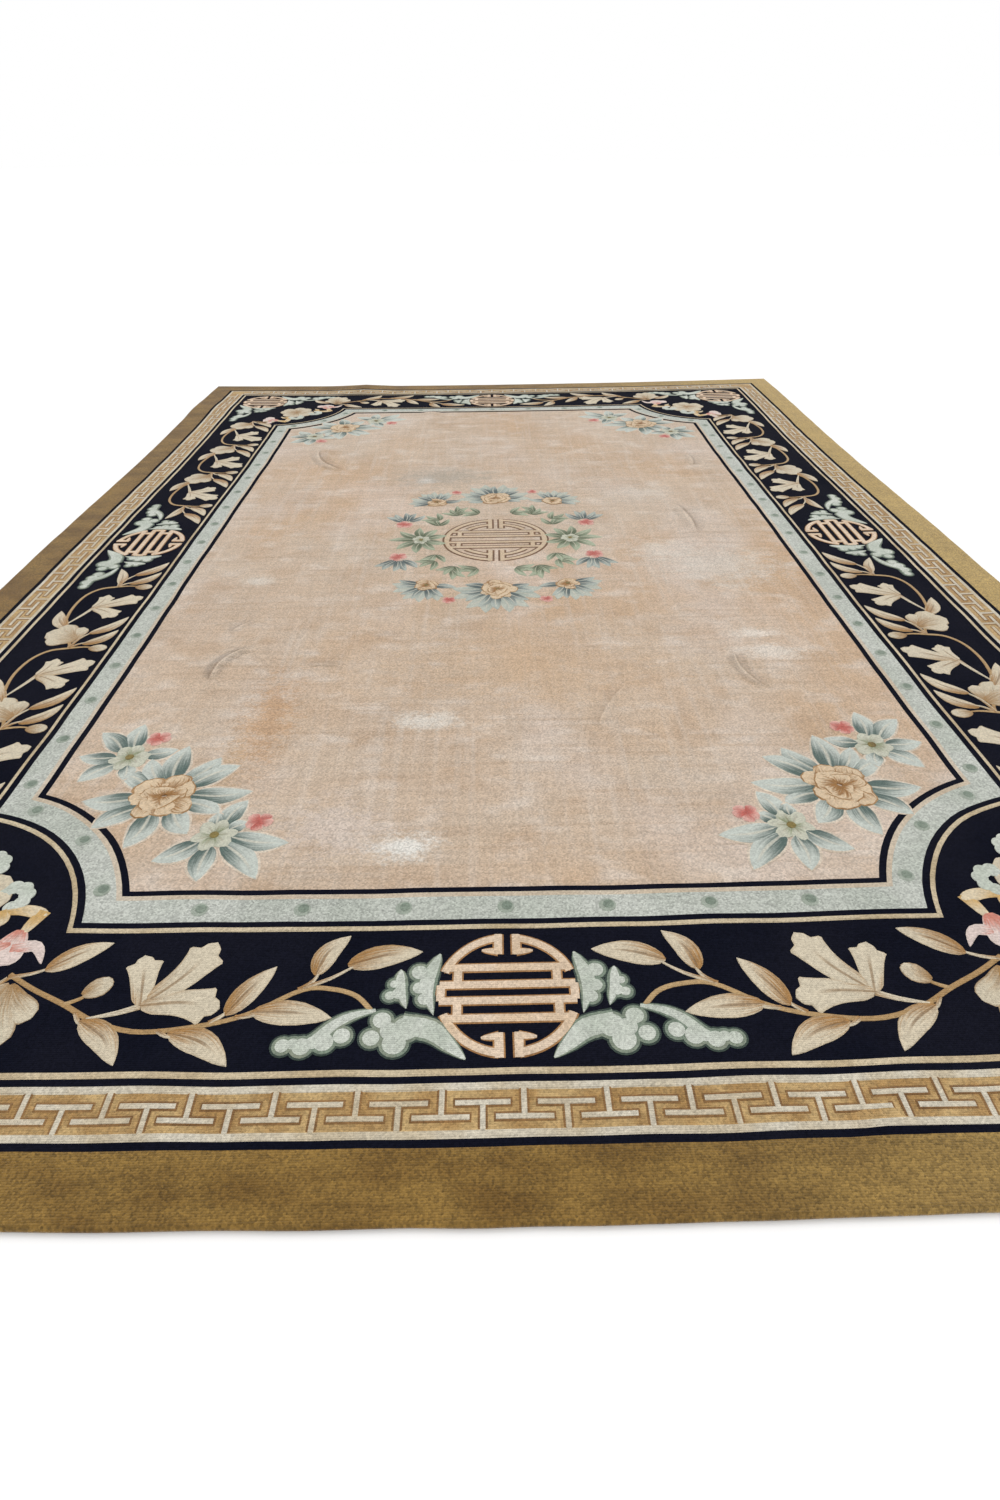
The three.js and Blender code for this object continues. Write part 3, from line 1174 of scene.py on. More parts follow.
@dataclass
class DotGuard:
    """The row of small round dots along the guard band."""

    radius: float = 15.0
    end_pitch: float = 180.0
    side_pitch: float = 162.0
    ring: float = 5.5
    aside: float = 2.0
    corner_clear: float = 310.0
    notch_turns: tuple[float, ...] = (202.0, 225.0, 248.0)

    def places(self) -> list[Plan]:
        """Where the dots lie on the plan."""
        inset = sum(GUARD_BAND) / 2.0
        x = LAY.half_width - inset
        y = LAY.half_length - inset
        found: list[Plan] = []
        for sign in (-1, 1):
            count = int((x - self.corner_clear) / self.end_pitch)
            found += [(k * self.end_pitch, sign * y) for k in range(-count, count + 1)]
            count = int((y - self.corner_clear) / self.side_pitch)
            found += [(sign * x, k * self.side_pitch) for k in range(-count, count + 1)]
        notch = FIELD_INSET - inset
        middle = GroundPile.notch_beyond - notch
        radius = GroundPile.notch_radius - notch
        for sx, sy in QUARTERS:
            for turn in self.notch_turns:
                a = math.radians(turn)
                out = x + middle + radius * math.cos(a)
                up = y + middle + radius * math.sin(a)
                found.append((sx * out, sy * up))
        return found

    def build(self) -> list[bpy.types.Object]:
        """Carve the dots: a pale ring under a darker core.

        Returns:
            Both pieces.
        """
        rings = CarvedSheet("dot_rings", (DOT_LINE,), FULL_PILE, 0.4)
        cores = CarvedSheet("dot_cores", (DOT_CORE,), FULL_PILE, 0.8)
        for x, y in self.places():
            rings.disc(x, y, self.radius)
            cores.disc(x + self.aside, y + self.aside, self.radius - self.ring)
        return [rings.finish(), cores.finish()]


# The vine border


@dataclass(frozen=True)
class Run:
    """Half of one side of the border: u from its middle roundel to the corner, v towards the field."""

    is_end: bool
    sx: int
    sy: int

    def turn(self, u: float, v: float) -> Plan:
        """A place on the run as a place on the plan."""
        middle = sum(BORDER_BAND) / 2.0
        if self.is_end:
            return self.sx * u, self.sy * (LAY.half_length - middle - v)
        return self.sx * (LAY.half_width - middle - v), self.sy * u

    @property
    def corner(self) -> float:
        """How far along the run the corner's roundel lies."""
        reach = LAY.half_width if self.is_end else LAY.half_length
        return reach - sum(BORDER_BAND) / 2.0


RUNS = [Run(is_end, sx, sy) for is_end in (True, False) for sx, sy in QUARTERS]


@dataclass(frozen=True)
class Cloud:
    """A cloud of round lobes with a curved tail, on a run."""

    lobes: tuple[tuple[float, float, float], ...]
    tail: tuple[Plan, ...]
    width: float
    widths: Widths = Widths.HORN


CLOUDS = (
    Cloud(
        ((195, -49, 19), (209, -80, 18), (174, -89, 23), (158, -64, 25), (182, -68, 20)),
        ((166, -58), (121, -67), (92, -92), (66, -117)), 46,
    ),
    Cloud(
        ((341, -91, 16), (312, -93, 19), (280, -86, 20), (254, -76, 18), (326, -88, 14), (296, -86, 16)),
        ((292, -82), (268, -56), (240, -40), (206, -31)), 30, Widths.TAPER,
    ),
    Cloud(((182, 18, 12), (187, -4, 13), (174, 0, 15)), ((174, 46), (171, 8), (160, -28)), 26, Widths.LEAF),
    Cloud(
        ((143, 40, 18), (141, 10, 16), (132, -11, 16)),
        ((111, 77), (128, 30), (128, 0), (117, -41)), 34, Widths.LEAF,
    ),
)


@dataclass(frozen=True)
class Leaf:
    """A border leaf from its base to its tip, and the stalk that joins it to the vine."""

    base: Plan
    tip: Plan
    bend: float
    width: float
    stalk: Plan | None = None


END_LEAVES = (
    Leaf((262, 57), (141, 82), -0.05, 48, (336, 9)),
    Leaf((312, 36), (264, 118), -0.12, 40, (332, 10)),
    Leaf((400, -32), (274, -44), -0.03, 46, (424, -40)),
    Leaf((440, -36), (377, 56), -0.04, 42, (462, -50)),
    Leaf((520, -68), (416, -122), -0.10, 46, (538, -63)),
    Leaf((664, -44), (584, -122), -0.10, 44, (676, -30)),
    Leaf((758, 52), (664, 108), -0.05, 42, (812, 38)),
    Leaf((842, 18), (925, -38), 0.10, 40, (812, 36)),
)
END_VINE = (
    (214, -30), (240, -3), (280, 10), (330, 8), (404, -34), (480, -56), (566, -65), (640, -46), (700, -15),
    (760, 14), (812, 44),
)
END_LILY = (
    (578.0, -18.0),
    ((488.0, 106.0), (602.0, 80.0), (452.0, -24.0)),
    ((578, -18), (610, -30), (656, -40)),
)
END_BUD = ((660.0, 16.0), (702.0, -14.0))
END_BLOSSOM = (
    (802.0, 22.0),
    (
        ((742.0, -40.0), 50), ((868.0, -20.0), 50), ((770.0, -88.0), 54), ((850.0, -70.0), 54),
        ((812.0, -100.0), 56),
    ),
)

SIDE_FIRST_LEAF = Leaf((322, 16), (216, -16), -0.06, 34, (342, 20))
SIDE_LEAVES = (
    Leaf((262, 42), (166, 121), -0.10, 38, (342, 16)),
    Leaf((322, 46), (242, 119), -0.12, 36, (342, 18)),
)
SIDE_TAIL = Leaf((606, -38), (502, -92), 0.08, 42, (640, -20))
SIDE_VINE = ((342, 16), (356, -30), (400, -60), (472, -68), (555, -56), (630, -30), (690, 8), (717, 16))
SIDE_NODE = (342.0, 16.0)
SIDE_BUD = (342.0, 96.0)
SIDE_LILY = (
    (482.0, -6.0),
    ((538.0, 80.0), (412.0, 118.0), (400.0, 12.0)),
    ((482, -6), (524, -20), (578, -42)),
)
SIDE_BLOSSOM = (
    (674.0, 18.0),
    (((602.0, 16.0), 48), ((682.0, -62.0), 60), ((588.0, -38.0), 62), ((636.0, -76.0), 70)),
)
SIDE_PITCH = 375.0
SIDE_UNITS = 3

CORNER_BLOSSOM = (205.0, 205.0)
CORNER_RINGS = ((8, 84.0, 62.0), (6, 60.0, 50.0), (4, 36.0, 34.0))
CORNER_RIBBONS = (
    ((285, 175), (375, 170), 0.10, 27, Widths.ROUND),
    ((365, 180), (345, 120), 0.0, 30, Widths.TAPER),
    ((290, 180), (285, 140), 0.35, 24, Widths.TAPER),
)
CORNER_PINKS = (
    ((345, 135), (335, 60), 0.0, 66, Widths.ROUND),
    ((340, 105), (290, 80), 0.0, 46, Widths.ROUND),
    ((345, 95), (410, 65), 0.30, 27, Widths.HORN),
)


@dataclass(frozen=True)
class CornerScroll:
    """A hooked row of round lobes on an arc, inside a corner's notch."""

    centre: Plan = (292.0, 212.0)
    radius: float = 25.0
    first_deg: float = -70.0
    last_deg: float = 190.0
    count: int = 7
    lobe: float = 14.0
    swelling: float = 3.0

    def lobes(self) -> list[tuple[float, float, float]]:
        """The place and radius of each lobe, growing along the arc."""
        found = []
        for k in range(self.count):
            share = k / (self.count - 1)
            turn = math.radians(self.first_deg + (self.last_deg - self.first_deg) * share)
            x = self.centre[0] + self.radius * math.cos(turn)
            y = self.centre[1] + self.radius * math.sin(turn)
            found.append((x, y, self.lobe + self.swelling * share))
        return found


LEAF = BladeFinish(
    "leaf_silk", (164, 122, 70), (212, 199, 174), rib=(122, 90, 54), rib_share=0.65, rim=(176, 154, 120),
    rim_share=0.4, base_end=-0.1, tip_start=0.7, lean=0.34, hatch=0.6,
)
STEM = BladeFinish(
    "stem_silk", (186, 156, 112), (172, 138, 92), rib_share=0.0, rim=(120, 92, 58), rim_share=0.7, hatch=0.2
)
LILY = BladeFinish(
    "lily_silk", (166, 128, 80), (212, 200, 176), rib=(136, 104, 66), rib_share=0.65, rim=(180, 158, 124),
    rim_share=0.35, base_end=-0.5, tip_start=0.4, hatch=0.5,
)
BLOSSOM = BladeFinish(
    "blossom_silk", (160, 124, 78), (208, 196, 172), rib=(146, 114, 74), rib_share=0.3, rim=(146, 114, 74),
    rim_share=0.7, base_end=-0.1, tip_start=0.8, lean=0.1, hatch=0.5,
)
RIBBON = BladeFinish(
    "corner_ribbon_silk", (204, 166, 104), (220, 204, 174), rib_share=0.1, rim=(196, 168, 124),
    rim_share=0.4, base_end=0.2, tip_start=0.8, lean=0.1,
)
PINK_RIBBON = BladeFinish(
    "pink_ribbon_silk", (206, 132, 114), (222, 204, 196), rib_share=0.1, rim=(222, 206, 196), rim_share=0.5,
    base_end=0.05, tip_start=0.5, lean=0.1,
)


@dataclass
class VineBorder:
    """Clouds, vines, leaves, lilies, buds and blossoms on the dark border."""

    stem_width: float = 9.0
    stalk_width: float = 9.0
    cloud_rim: float = 5.0
    cloud_line: float = 3.2
    lily_width: float = 64.0
    lily_reach: float = 118.0
    lily_stalk: float = 1.4
    bud_width: float = 32.0
    bud_reach: float = 46.0
    bud_cleft: float = 0.2
    ring_turn: float = 0.4

    def __post_init__(self) -> None:
        """Open one sheet for each kind of form."""
        self.stems = CarvedSheet("border_stems", (STEM,), LOW_PILE, 1.0, seed=11)
        self.leaves = CarvedSheet("border_leaves", (LEAF,), LOW_PILE, 1.4, seed=12)
        self.lilies = CarvedSheet("border_lilies", (LILY,), LOW_PILE, 1.5, seed=13)
        self.blossoms = CarvedSheet("border_blossoms", (BLOSSOM,), LOW_PILE, 1.4, seed=14)
        self.ribbons = CarvedSheet("corner_ribbons", (RIBBON,), LOW_PILE, 1.2, seed=16)
        self.pinks = CarvedSheet("corner_pinks", (PINK_RIBBON,), LOW_PILE, 1.4, seed=17)
        self.clouds = (
            CarvedSheet("cloud_lines", (CLOUD_LINE,), LOW_PILE, 0.4, 0.0),
            CarvedSheet("cloud_rims", (CLOUD_RIM,), LOW_PILE, 0.3, 0.45),
            CarvedSheet("cloud_cores", (CLOUD_CORE,), LOW_PILE, 0.5, 0.8),
        )

    def leaf(self, leaf: Leaf, turn: Turn) -> None:
        """Carve a leaf and its stalk."""
        self.leaves.blade(bent(leaf.base, leaf.tip, leaf.bend), leaf.width, Widths.LEAF, turn, lift=0.2)
        if leaf.stalk:
            into = Vector(leaf.base).lerp(Vector(leaf.tip), 0.15)
            stalk = bent(leaf.stalk, (into.x, into.y), -leaf.bend)
            self.leaves.blade(stalk, self.stalk_width, Widths.TAPER, turn, (6, 4), 0.1)

    def vine(self, points: Sequence[Plan], turn: Turn, width: float) -> None:
        """Carve a length of vine."""
        self.stems.blade(Spine(tuple(points)), width, Widths.STEM, turn, (4 * len(points), 4))

    def lily(self, base: Plan, tips: Sequence[Plan], stalk: Sequence[Plan], turn: Turn) -> None:
        """Carve a lily of toothed lobes on its stalk."""
        thick = self.stalk_width * self.lily_stalk
        self.lilies.blade(Spine(tuple(stalk)), thick, Widths.TAPER, turn, (10, 4))
        for number, tip in enumerate(tips):
            reach = (Vector(tip) - Vector(base)).length
            width = self.lily_width * min(1.0, reach / self.lily_reach)
            lobe = bent(base, tip, 0.06 * (1 - number))
            self.lilies.blade(lobe, width, Widths.TOOTHED, turn, (28, 6), 0.1 + 0.1 * number, 0.2)

    def bud(self, at: Plan, stalk: Plan, turn: Turn) -> None:
        """Carve a cleft bud on a stalk."""
        self.stems.blade(bent(stalk, at, 0.08), self.stalk_width, Widths.TAPER, turn, (6, 4))
        facing = math.atan2(at[1] - stalk[1], at[0] - stalk[0])
        ahead = Vector((math.cos(facing), math.sin(facing)))
        base = Vector(at) - ahead * self.bud_reach * 0.5
        for side in (-self.bud_cleft, self.bud_cleft):
            tip = base + Matrix.Rotation(side, 2) @ ahead * self.bud_reach
            spine = bent(tuple(base), tuple(tip), -side)
            self.blossoms.blade(spine, self.bud_width, Widths.ROUND, turn, (8, 6), 0.1)

    def blossom(self, root: Plan, petals: Sequence[tuple[Plan, float]], turn: Turn) -> None:
        """Carve an open blossom of broad petals from its root."""
        for number, (tip, width) in enumerate(petals):
            spine = bent(root, tip, 0.08 * (-1) ** number)
            self.blossoms.blade(spine, width, Widths.ROUND, turn, (10, 8), 0.15 * number)

    def end_run(self, run: Run) -> None:
        """Carve half of a short side."""
        self.vine(END_VINE, run.turn, self.stem_width)
        for leaf in END_LEAVES:
            self.leaf(leaf, run.turn)
        self.lily(*END_LILY, run.turn)
        self.bud(*END_BUD, run.turn)
        self.blossom(*END_BLOSSOM, run.turn)

    def side_run(self, run: Run) -> None:
        """Carve half of a long side, unit by unit."""
        self.leaf(SIDE_FIRST_LEAF, run.turn)
        for unit in range(SIDE_UNITS + 1):
            def turn(u: float, v: float, shift: float = unit * SIDE_PITCH) -> Plan:
                return run.turn(u + shift, v)

            for leaf in SIDE_LEAVES:
                self.leaf(leaf, turn)
            self.bud(SIDE_BUD, SIDE_NODE, turn)
            if unit < SIDE_UNITS:
                self.vine(SIDE_VINE, turn, self.stem_width)
                self.leaf(SIDE_TAIL, turn)
                self.lily(*SIDE_LILY, turn)
                self.blossom(*SIDE_BLOSSOM, turn)

    def cloud_group(self, turn: Turn) -> None:
        """Carve the clouds beside a roundel, each as a line, a rim and a pale core."""
        for sheet, grow in zip(self.clouds, (self.cloud_line, 0.0, -self.cloud_rim)):
            for cloud in CLOUDS:
                sheet.blade(Spine(cloud.tail), cloud.width + 2.0 * grow, cloud.widths, turn, (12, 4))
                for x, y, radius in cloud.lobes:
                    sheet.disc(x, y, radius + grow, turn)

    def corner(self, sx: int, sy: int) -> None:
        """Carve the blossom, ribbons and lobes inside a corner's notch."""
        x = LAY.half_width - sum(BORDER_BAND) / 2.0
        y = LAY.half_length - sum(BORDER_BAND) / 2.0

        def turn(a: float, b: float) -> Plan:
            return sx * (x - a), sy * (y - b)

        def swapped(a: float, b: float) -> Plan:
            return turn(b, a)

        middle = Vector(CORNER_BLOSSOM)
        for ring, (count, reach, width) in enumerate(CORNER_RINGS):
            turns = [math.tau * (k + self.ring_turn * ring) / count for k in range(count)]
            petals = [(tuple(middle + Vector((math.cos(a), math.sin(a))) * reach), width) for a in turns]
            self.blossom(tuple(middle), petals, turn)
        for side in (turn, swapped):
            for sheet, rows in ((self.ribbons, CORNER_RIBBONS), (self.pinks, CORNER_PINKS)):
                for number, (base, tip, bend, width, widths) in enumerate(rows):
                    sheet.blade(bent(base, tip, bend), width, widths, side, (10, 6), 0.1 * number)
            for a, b, radius in CornerScroll().lobes():
                self.clouds[-1].disc(a, b, radius, side)

    def build(self) -> list[bpy.types.Object]:
        """Carve the whole border.

        Returns:
            One piece for each kind of form.
        """
        for run in RUNS:
            self.cloud_group(run.turn)
            self.cloud_group(lambda u, v, r=run: r.turn(r.corner - u, v))
            if run.is_end:
                self.end_run(run)
            else:
                self.side_run(run)
        for quarter in QUARTERS:
            self.corner(*quarter)
        sheets = (
            self.stems, self.leaves, self.lilies, self.blossoms, *self.clouds, self.ribbons, self.pinks,
        )
        return [sheet.finish() for sheet in sheets]


# The field's flowers


PEONY = BladeFinish(
    "peony_silk", (152, 108, 56), (218, 194, 162), rib_share=0.2, rim=(160, 122, 78), rim_share=0.6,
    base_end=0.15, tip_start=0.8, hatch=0.7,
)
STAR = BladeFinish(
    "star_flower_silk", (142, 148, 118), (198, 198, 180), rib_share=0.25, rim=(168, 172, 152), rim_share=0.6,
    base_end=0.0, tip_start=0.6,
)
OUTLINE = SilkFinish("petal_outline_silk", (218, 204, 186), (206, 190, 170), (16.0, 16.0, 16.0), 1.3)
# Brown under each peony petal: partly an outline, partly painted shade between overlapping petals.
PEONY_LINE_AND_SHADE = SilkFinish("peony_line_and_shade_silk", (172, 134, 90), (154, 116, 72), (20.0, 20.0, 20.0), 1.3)
HEART = SilkFinish("flower_heart_silk", (132, 116, 62), (112, 92, 48), (30.0, 30.0, 30.0), 1.3)
PINK_BUD = BladeFinish(
    "pink_bud_silk", (188, 98, 88), (220, 172, 160), rib_share=0.1, rim=(224, 196, 184), rim_share=0.6,
    base_end=0.2, tip_start=1.0,
)
BLUE_PETAL = BladeFinish(
    "petal_blue_silk", (78, 92, 92), (178, 186, 178), rib=(212, 208, 192), rib_share=0.7, rib_reach=0.95,
    rim=(202, 194, 178), rim_share=0.45, base_end=0.2, tip_start=0.95, lean=0.2,
)
PALE_LEAF = BladeFinish(
    "pale_leaf_silk", (150, 160, 150), (188, 192, 180), rib=(208, 200, 184), rib_share=0.6, rib_reach=0.95,
    rim=(210, 200, 184), rim_share=0.5, lean=0.2,
)
WREATH_LEAF = BladeFinish(
    "wreath_leaf_silk", (84, 96, 68), (168, 178, 152), rib=(208, 202, 180), rib_share=0.6, rib_reach=0.95,
    rim=(198, 190, 170), rim_share=0.4, base_end=0.1, tip_start=0.9, lean=0.2,
)

Fan = tuple[float, float, float]


@dataclass(frozen=True)
class Spread:
    """Petals to both sides of one angle, shorter the further aside they lie."""

    middle: float
    steps: tuple[float, ...]
    reach: float
    width: float
    start: float
    fall: float = 0.0
    lift: float = 0.0

    def rows(self) -> list[Fan]:
        """The angle, reach and width of each petal."""
        return [(self.middle + step, self.reach - self.fall * abs(step), self.width) for step in self.steps]


FULL_RINGS = (7, 5, 3)
SMALL_RINGS = (5, 3)

WREATH_SQUEEZE = 0.95
WREATH_END = (0.0, 385.0)
WREATH_SIDE = (266.0, 0.0)
WREATH_QUARTER = (228.0, 352.0)
WREATH_TUFT = (332.0, 150.0)
WREATH_BUDS = (((152.0, 452.0), 21.0), ((338.0, 136.0), 31.0))
END_BLUES = Spread(90.0, (-110, -80, -52, -26, 0, 26, 52, 80, 110), 132.0, 40.0, 34.0, 0.25, 0.1)
END_PALES = Spread(90.0, (-94, -66, -38, -13, 13, 38, 66, 94), 156.0, 46.0, 50.0, 0.2)
SIDE_GREENS = Spread(0.0, (0, 42, -42, 84, -84, 122, -122, 160, -160), 118.0, 38.0, 22.0, 0.14)
QUARTER_BLUES = Spread(0.0, (-24, 6, 36, 66, 96, 126, 170), 98.0, 34.0, 22.0, 0.0, 0.1)
QUARTER_PALES = Spread(0.0, (-8, 22, 52, 82, 112), 112.0, 36.0, 40.0)
TUFT_BLUES = Spread(0.0, (36, 60, 84, 108, 132), 98.0, 32.0, 20.0)
SPRIG_STEPS = (-38.0, 0.0, 38.0)
WREATH_SPRIGS = ((206, 172, 40), (138, 214, 60), (60, 232, 20), (208, 120, 80), (150, 240, 130))

SPRAY_PEONY = (703.0, 1340.0)
PEONY_LEAVES: tuple[Fan, ...] = (
    (-90, 176, 56), (-122, 156, 50), (-142, 168, 54), (-175, 182, 52), (158, 140, 46), (126, 140, 50),
    (79, 156, 52), (40, 150, 52), (5, 166, 52), (-34, 146, 48), (-62, 146, 46),
)
SPRAY_STARS: tuple[tuple[Plan, tuple[Fan, ...]], ...] = (
    ((823, 1205), (
        (-86, 128, 48), (-44, 134, 48), (-2, 114, 42), (46, 118, 46), (100, 80, 36), (-164, 102, 40),
    )),
    ((566, 1458), (
        (-112, 112, 44), (171, 152, 50), (132, 160, 50), (90, 124, 46), (36, 122, 46), (-80, 66, 34),
        (-150, 70, 34),
    )),
)
SPRAY_BUDS: tuple[Plan, ...] = ((782, 1134), (487, 1419))


@dataclass
class FieldFlowers:
    """The corner sprays and the wreath round the centre."""

    peony_radius: float = 70.0
    star_radius: float = 46.0
    bud_radius: float = 27.0
    outline: float = 2.6
    fullness: float = 1.2
    ring_fall: float = 0.27
    ring_turn: float = 11.0
    petal_overlap: float = 1.3
    petal_middle: float = 0.75
    petal_bend: float = 0.07
    peony_start: float = 50.0
    star_start: float = 30.0
    star_lift: float = 0.15
    end_peony: float = 60.0
    end_heart: float = 10.0
    quarter_peony: float = 36.0
    quarter_heart: float = 7.0
    side_star: float = 34.0

    def __post_init__(self) -> None:
        """Open one sheet for each kind of form."""
        self.outlines = CarvedSheet("spray_outlines", (OUTLINE,), FULL_PILE, 0.5, seed=20)
        self.petals = CarvedSheet("spray_petals", (PETAL,), FULL_PILE, 0.8, seed=21)
        self.blues = CarvedSheet("wreath_petals", (BLUE_PETAL,), FULL_PILE, 0.8, seed=22)
        self.greens = CarvedSheet("wreath_leaves", (WREATH_LEAF,), FULL_PILE, 0.8, seed=23)
        self.peonies = CarvedSheet("peonies", (PEONY,), FULL_PILE, 0.9, seed=24)
        self.peony_lines_and_shade = CarvedSheet("peony_lines_and_shade", (PEONY_LINE_AND_SHADE,), FULL_PILE, 0.9, seed=28)
        self.stars = CarvedSheet("star_flowers", (STAR,), FULL_PILE, 0.8, seed=25)
        self.buds = CarvedSheet("pink_buds", (PINK_BUD,), FULL_PILE, 0.9, seed=26)
        self.pales = CarvedSheet("pale_leaves", (PALE_LEAF,), FULL_PILE, 0.6, seed=27)
        self.hearts = CarvedSheet("flower_hearts", (HEART,), FULL_PILE, 0.4, 1.8)

    def fan(
        self, sheet: CarvedSheet, centre: Plan, rows: Iterable[Fan], turn: Turn, start: float,
        widths: Widths = Widths.LEAF, lift: float = 0.0,
    ) -> None:
        """Carve petals about a centre.

        Args:
            sheet: Where they go.
            centre: The middle they point away from.
            rows: Angle, reach and width of each.
            turn: Where the plan goes on the rug.
            start: How far out they begin.
            widths: How their width runs.
            lift: Extra height.
        """
        for number, (angle, reach, width) in enumerate(rows):
            a = math.radians(angle)
            ahead = Vector((math.cos(a), math.sin(a)))
            base = Vector(centre) + ahead * start
            tip = Vector(centre) + ahead * reach
            spine = bent((base.x, base.y), (tip.x, tip.y), self.petal_bend * (-1) ** number)
            sheet.blade(spine, width, widths, turn, (9, 6), lift + 0.1 * (number % 3))

    def spread(self, sheet: CarvedSheet, centre: Plan, petals: Spread, turn: Turn) -> None:
        """Carve a spread of petals about a centre."""
        self.fan(sheet, centre, petals.rows(), turn, petals.start, lift=petals.lift)

    def rosette(self, centre: Plan, radius: float, turn: Turn, counts: Sequence[int]) -> None:
        """Carve a peony's uneven rings of round petals, the inner ones higher, each over a brown outline
        that is partly painted shade between overlapping petals.
        """
        draw = self.peonies.draw
        for ring, count in enumerate(counts):
            reach = radius * (1.0 - self.ring_fall * ring)
            width = self.petal_overlap * math.tau * reach * self.petal_middle / count
            rows = []
            for k in range(count):
                step = k + 0.5 * (ring % 2) + draw.uniform(-0.2, 0.2)
                angle = 360.0 * step / count + self.ring_turn * ring
                rows.append((angle, reach * draw.uniform(0.82, 1.12), width * draw.uniform(0.8, 1.2)))
            grown = [(angle, out + self.outline, wide + 2.0 * self.outline) for angle, out, wide in rows]
            lift = 0.5 + 0.4 * ring
            # A brown outline under each petal, partly painted shade between overlapping petals.
            self.fan(self.peony_lines_and_shade, centre, grown, turn, 0.12 * reach, Widths.ROUND, lift - 0.2)
            self.fan(self.peonies, centre, rows, turn, 0.12 * reach, Widths.ROUND, lift)

    def star(self, centre: Plan, radius: float, turn: Turn) -> None:
        """Carve a star flower of pointed petals round a small heart."""
        rows = [(60.0 * k + 14.0, radius, radius * 0.85) for k in range(6)]
        self.fan(self.stars, centre, rows, turn, 2.0, Widths.PETAL, 0.4)
        self.hearts.disc(*centre, radius * 0.2, turn)

    def bud(self, centre: Plan, turn: Turn, radius: float) -> None:
        """Carve a small pink flower of five round petals."""
        rows = [(72.0 * k + 20.0, radius, radius * 0.95) for k in range(5)]
        self.fan(self.buds, centre, rows, turn, 1.0, Widths.ROUND, 0.3)

    def outlined(
        self, centre: Plan, rows: Sequence[Fan], turn: Turn, start: float, lift: float = 0.0
    ) -> None:
        """Carve petals with a pale outline round each."""
        full = [(angle, reach, width * self.fullness) for angle, reach, width in rows]
        grown = [(angle, reach + self.outline, width + 2.0 * self.outline) for angle, reach, width in full]
        self.fan(self.outlines, centre, grown, turn, start, lift=lift)
        self.fan(self.petals, centre, full, turn, start, lift=lift)

    def spray(self, sx: int, sy: int) -> None:
        """Carve one corner's spray."""
        def turn(x: float, y: float) -> Plan:
            return sx * x, sy * y

        self.outlined(SPRAY_PEONY, PEONY_LEAVES, turn, self.peony_start)
        self.rosette(SPRAY_PEONY, self.peony_radius, turn, FULL_RINGS)
        for centre, rows in SPRAY_STARS:
            self.outlined(centre, rows, turn, self.star_start, self.star_lift)
            self.star(centre, self.star_radius, turn)
        for centre in SPRAY_BUDS:
            self.bud(centre, turn, self.bud_radius)

    def wreath(self) -> None:
        """Carve the wreath: its end flowers, its side flowers, then each quarter."""
        for sy in (1, -1):
            def up(x: float, y: float, s: int = sy) -> Plan:
                return x, s * y

            self.spread(self.blues, WREATH_END, END_BLUES, up)
            self.spread(self.pales, WREATH_END, END_PALES, up)
            self.rosette(WREATH_END, self.end_peony, up, FULL_RINGS)
            self.hearts.disc(*WREATH_END, self.end_heart, up)
        for sx in (1, -1):
            def out(x: float, y: float, s: int = sx) -> Plan:
                return s * x * WREATH_SQUEEZE, y

            self.spread(self.greens, WREATH_SIDE, SIDE_GREENS, out)
            self.star(WREATH_SIDE, self.side_star, out)
        for sx, sy in QUARTERS:
            def turn(x: float, y: float, a: int = sx, b: int = sy) -> Plan:
                return a * x * WREATH_SQUEEZE, b * y

            self.spread(self.blues, WREATH_QUARTER, QUARTER_BLUES, turn)
            self.spread(self.pales, WREATH_QUARTER, QUARTER_PALES, turn)
            self.rosette(WREATH_QUARTER, self.quarter_peony, turn, SMALL_RINGS)
            self.hearts.disc(*WREATH_QUARTER, self.quarter_heart, turn)
            self.spread(self.blues, WREATH_TUFT, TUFT_BLUES, turn)
            for centre, radius in WREATH_BUDS:
                self.bud(centre, turn, radius)
            for x, y, facing in WREATH_SPRIGS:
                self.spread(self.greens, (x, y), Spread(facing, SPRIG_STEPS, 72.0, 26.0, 4.0), turn)

    def build(self) -> list[bpy.types.Object]:
        """Carve all the field's flowers.

        Returns:
            One piece for each kind of form.
        """
        for quarter in QUARTERS:
            self.spray(*quarter)
        self.wreath()
        sheets = (
            self.outlines, self.petals, self.pales, self.blues, self.greens, self.peony_lines_and_shade, self.peonies,
            self.stars, self.buds, self.hearts,
        )
        return [sheet.finish() for sheet in sheets]


# The studio


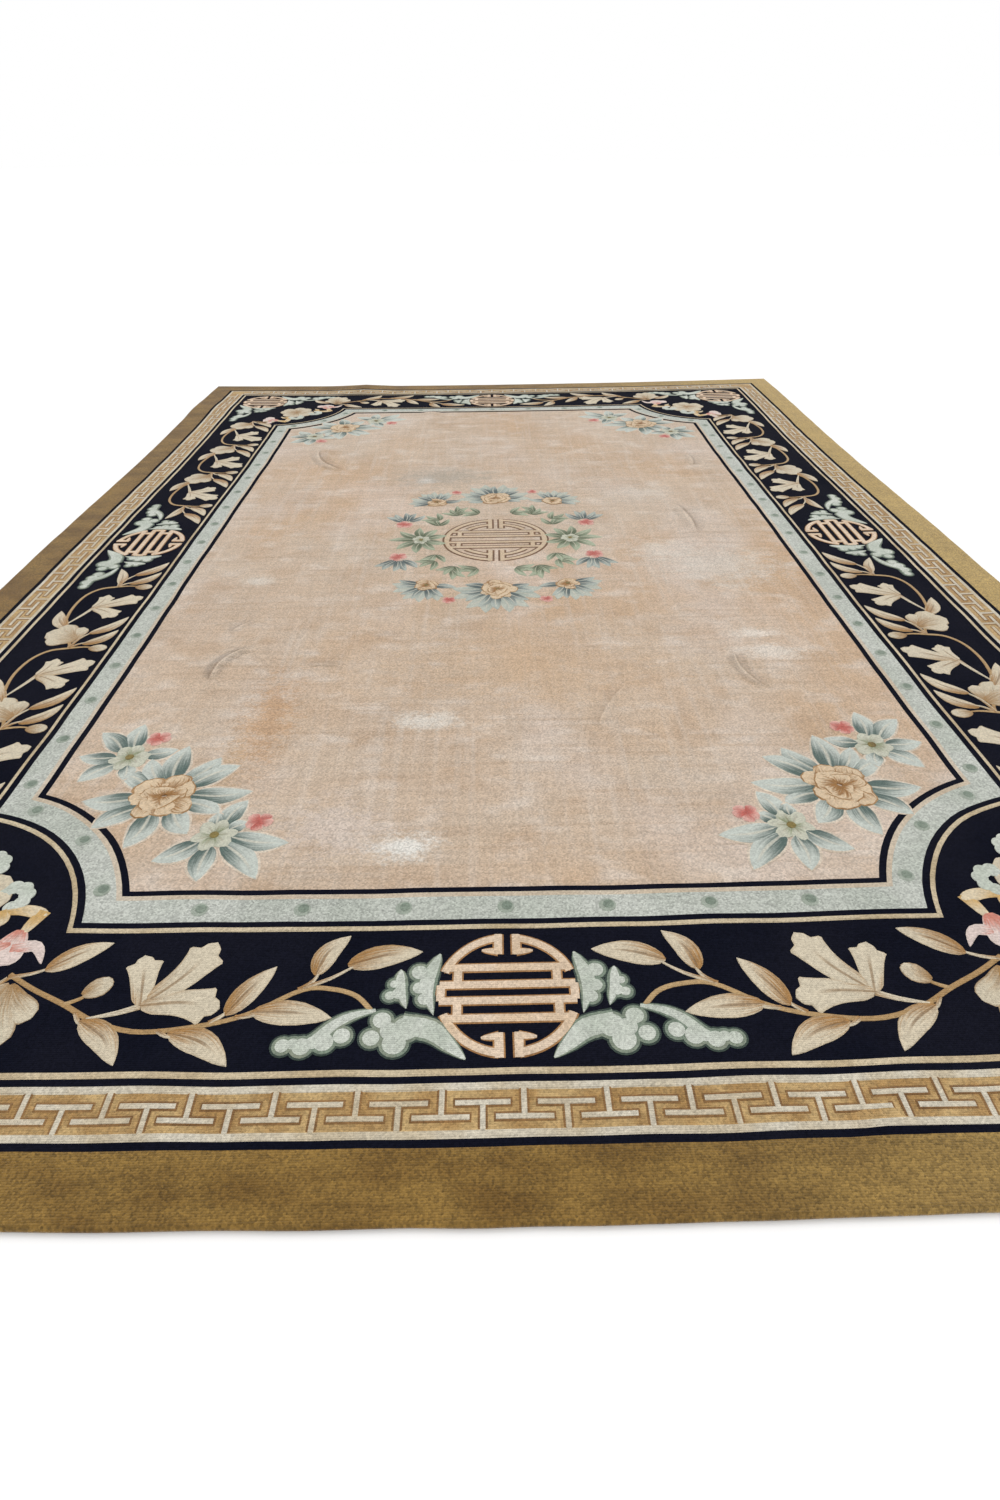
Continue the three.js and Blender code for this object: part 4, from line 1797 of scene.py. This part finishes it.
@dataclass
class Studio:
    """A pale floor, soft light and the camera where the photograph was taken."""

    focal_px: float = 794.6
    frame_px: float = 1500.0
    pitch: float = 37.434
    roll: float = -0.714
    yaw: float = 0.423
    eye: tuple[float, float, float] = (-13.8, -2617.7, 1084.9)
    far_clip: float = 500.0
    floor_half: float = 60.0
    floor_tone: float = 0.93
    floor_rough: float = 0.9
    sun_strength: float = 0.7
    sun_soft_deg: float = 35.0
    sun_colour: tuple[float, float, float] = (1.0, 0.985, 0.96)
    sun_turn_deg: tuple[float, float, float] = (-38.0, 22.0, 0.0)

    def camera(self) -> None:
        """Set the camera."""
        data = bpy.data.cameras.new("photo_camera")
        data.sensor_width = 36.0
        data.lens = self.focal_px / self.frame_px * data.sensor_width
        data.clip_end = self.far_clip
        pitch, roll, yaw = (math.radians(a) for a in (self.pitch, self.roll, self.yaw))
        ahead = Vector((math.sin(yaw) * math.cos(pitch), math.cos(yaw) * math.cos(pitch), -math.sin(pitch)))
        level = Vector((math.cos(yaw), -math.sin(yaw), 0.0))
        upright = level.cross(ahead)
        right = level * math.cos(roll) + upright * math.sin(roll)
        up = upright * math.cos(roll) - level * math.sin(roll)
        camera = bpy.data.objects.new("photo_camera", data)
        turned = Matrix((right, up, -ahead)).transposed().to_4x4()
        camera.matrix_world = Matrix.Translation(Vector(self.eye) * MM) @ turned
        bpy.context.scene.collection.objects.link(camera)
        bpy.context.scene.camera = camera

    def floor(self) -> None:
        """Lay the pale floor."""
        bm = bmesh.new()
        bmesh.ops.create_grid(bm, x_segments=1, y_segments=1, size=self.floor_half)
        mesh = bpy.data.meshes.new("studio_floor")
        bm.to_mesh(mesh)
        bm.free()
        paint = bpy.data.materials.new("studio_floor")
        paint.use_nodes = True
        shader = paint.node_tree.nodes["Principled BSDF"]
        shader.inputs["Base Color"].default_value = (*[self.floor_tone] * 3, 1.0)
        shader.inputs["Roughness"].default_value = self.floor_rough
        shader.inputs["Specular IOR Level"].default_value = 0.0
        mesh.materials.append(paint)
        floor = bpy.data.objects.new("studio_floor", mesh)
        bpy.context.scene.collection.objects.link(floor)

    def light(self) -> None:
        """Hang a white sky and one broad soft sun."""
        scene = bpy.context.scene
        scene.view_settings.view_transform = "Standard"
        world = bpy.data.worlds.new("studio_sky")
        world.use_nodes = True
        sky = world.node_tree.nodes["Background"]
        sky.inputs["Color"].default_value = (1.0, 1.0, 1.0, 1.0)
        sky.inputs["Strength"].default_value = 1.0
        scene.world = world
        data = bpy.data.lights.new("soft_sun", "SUN")
        data.energy = self.sun_strength
        data.angle = math.radians(self.sun_soft_deg)
        data.color = self.sun_colour
        sun = bpy.data.objects.new("soft_sun", data)
        sun.rotation_euler = [math.radians(turn) for turn in self.sun_turn_deg]
        scene.collection.objects.link(sun)

    def build(self) -> None:
        """Set up the whole studio."""
        self.camera()
        self.floor()
        self.light()


def main() -> None:
    """Build the rug piece by piece and set the studio."""
    Studio().build()
    ground = GroundPile().build()
    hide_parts("rug")
    carved = [*FretBorder().build(), *Roundels().build(), *DotGuard().build()]
    carved += [*VineBorder().build(), *FieldFlowers().build()]
    log.info("pieces: %d", 1 + len(carved))


if __name__ == "__main__":
    main()
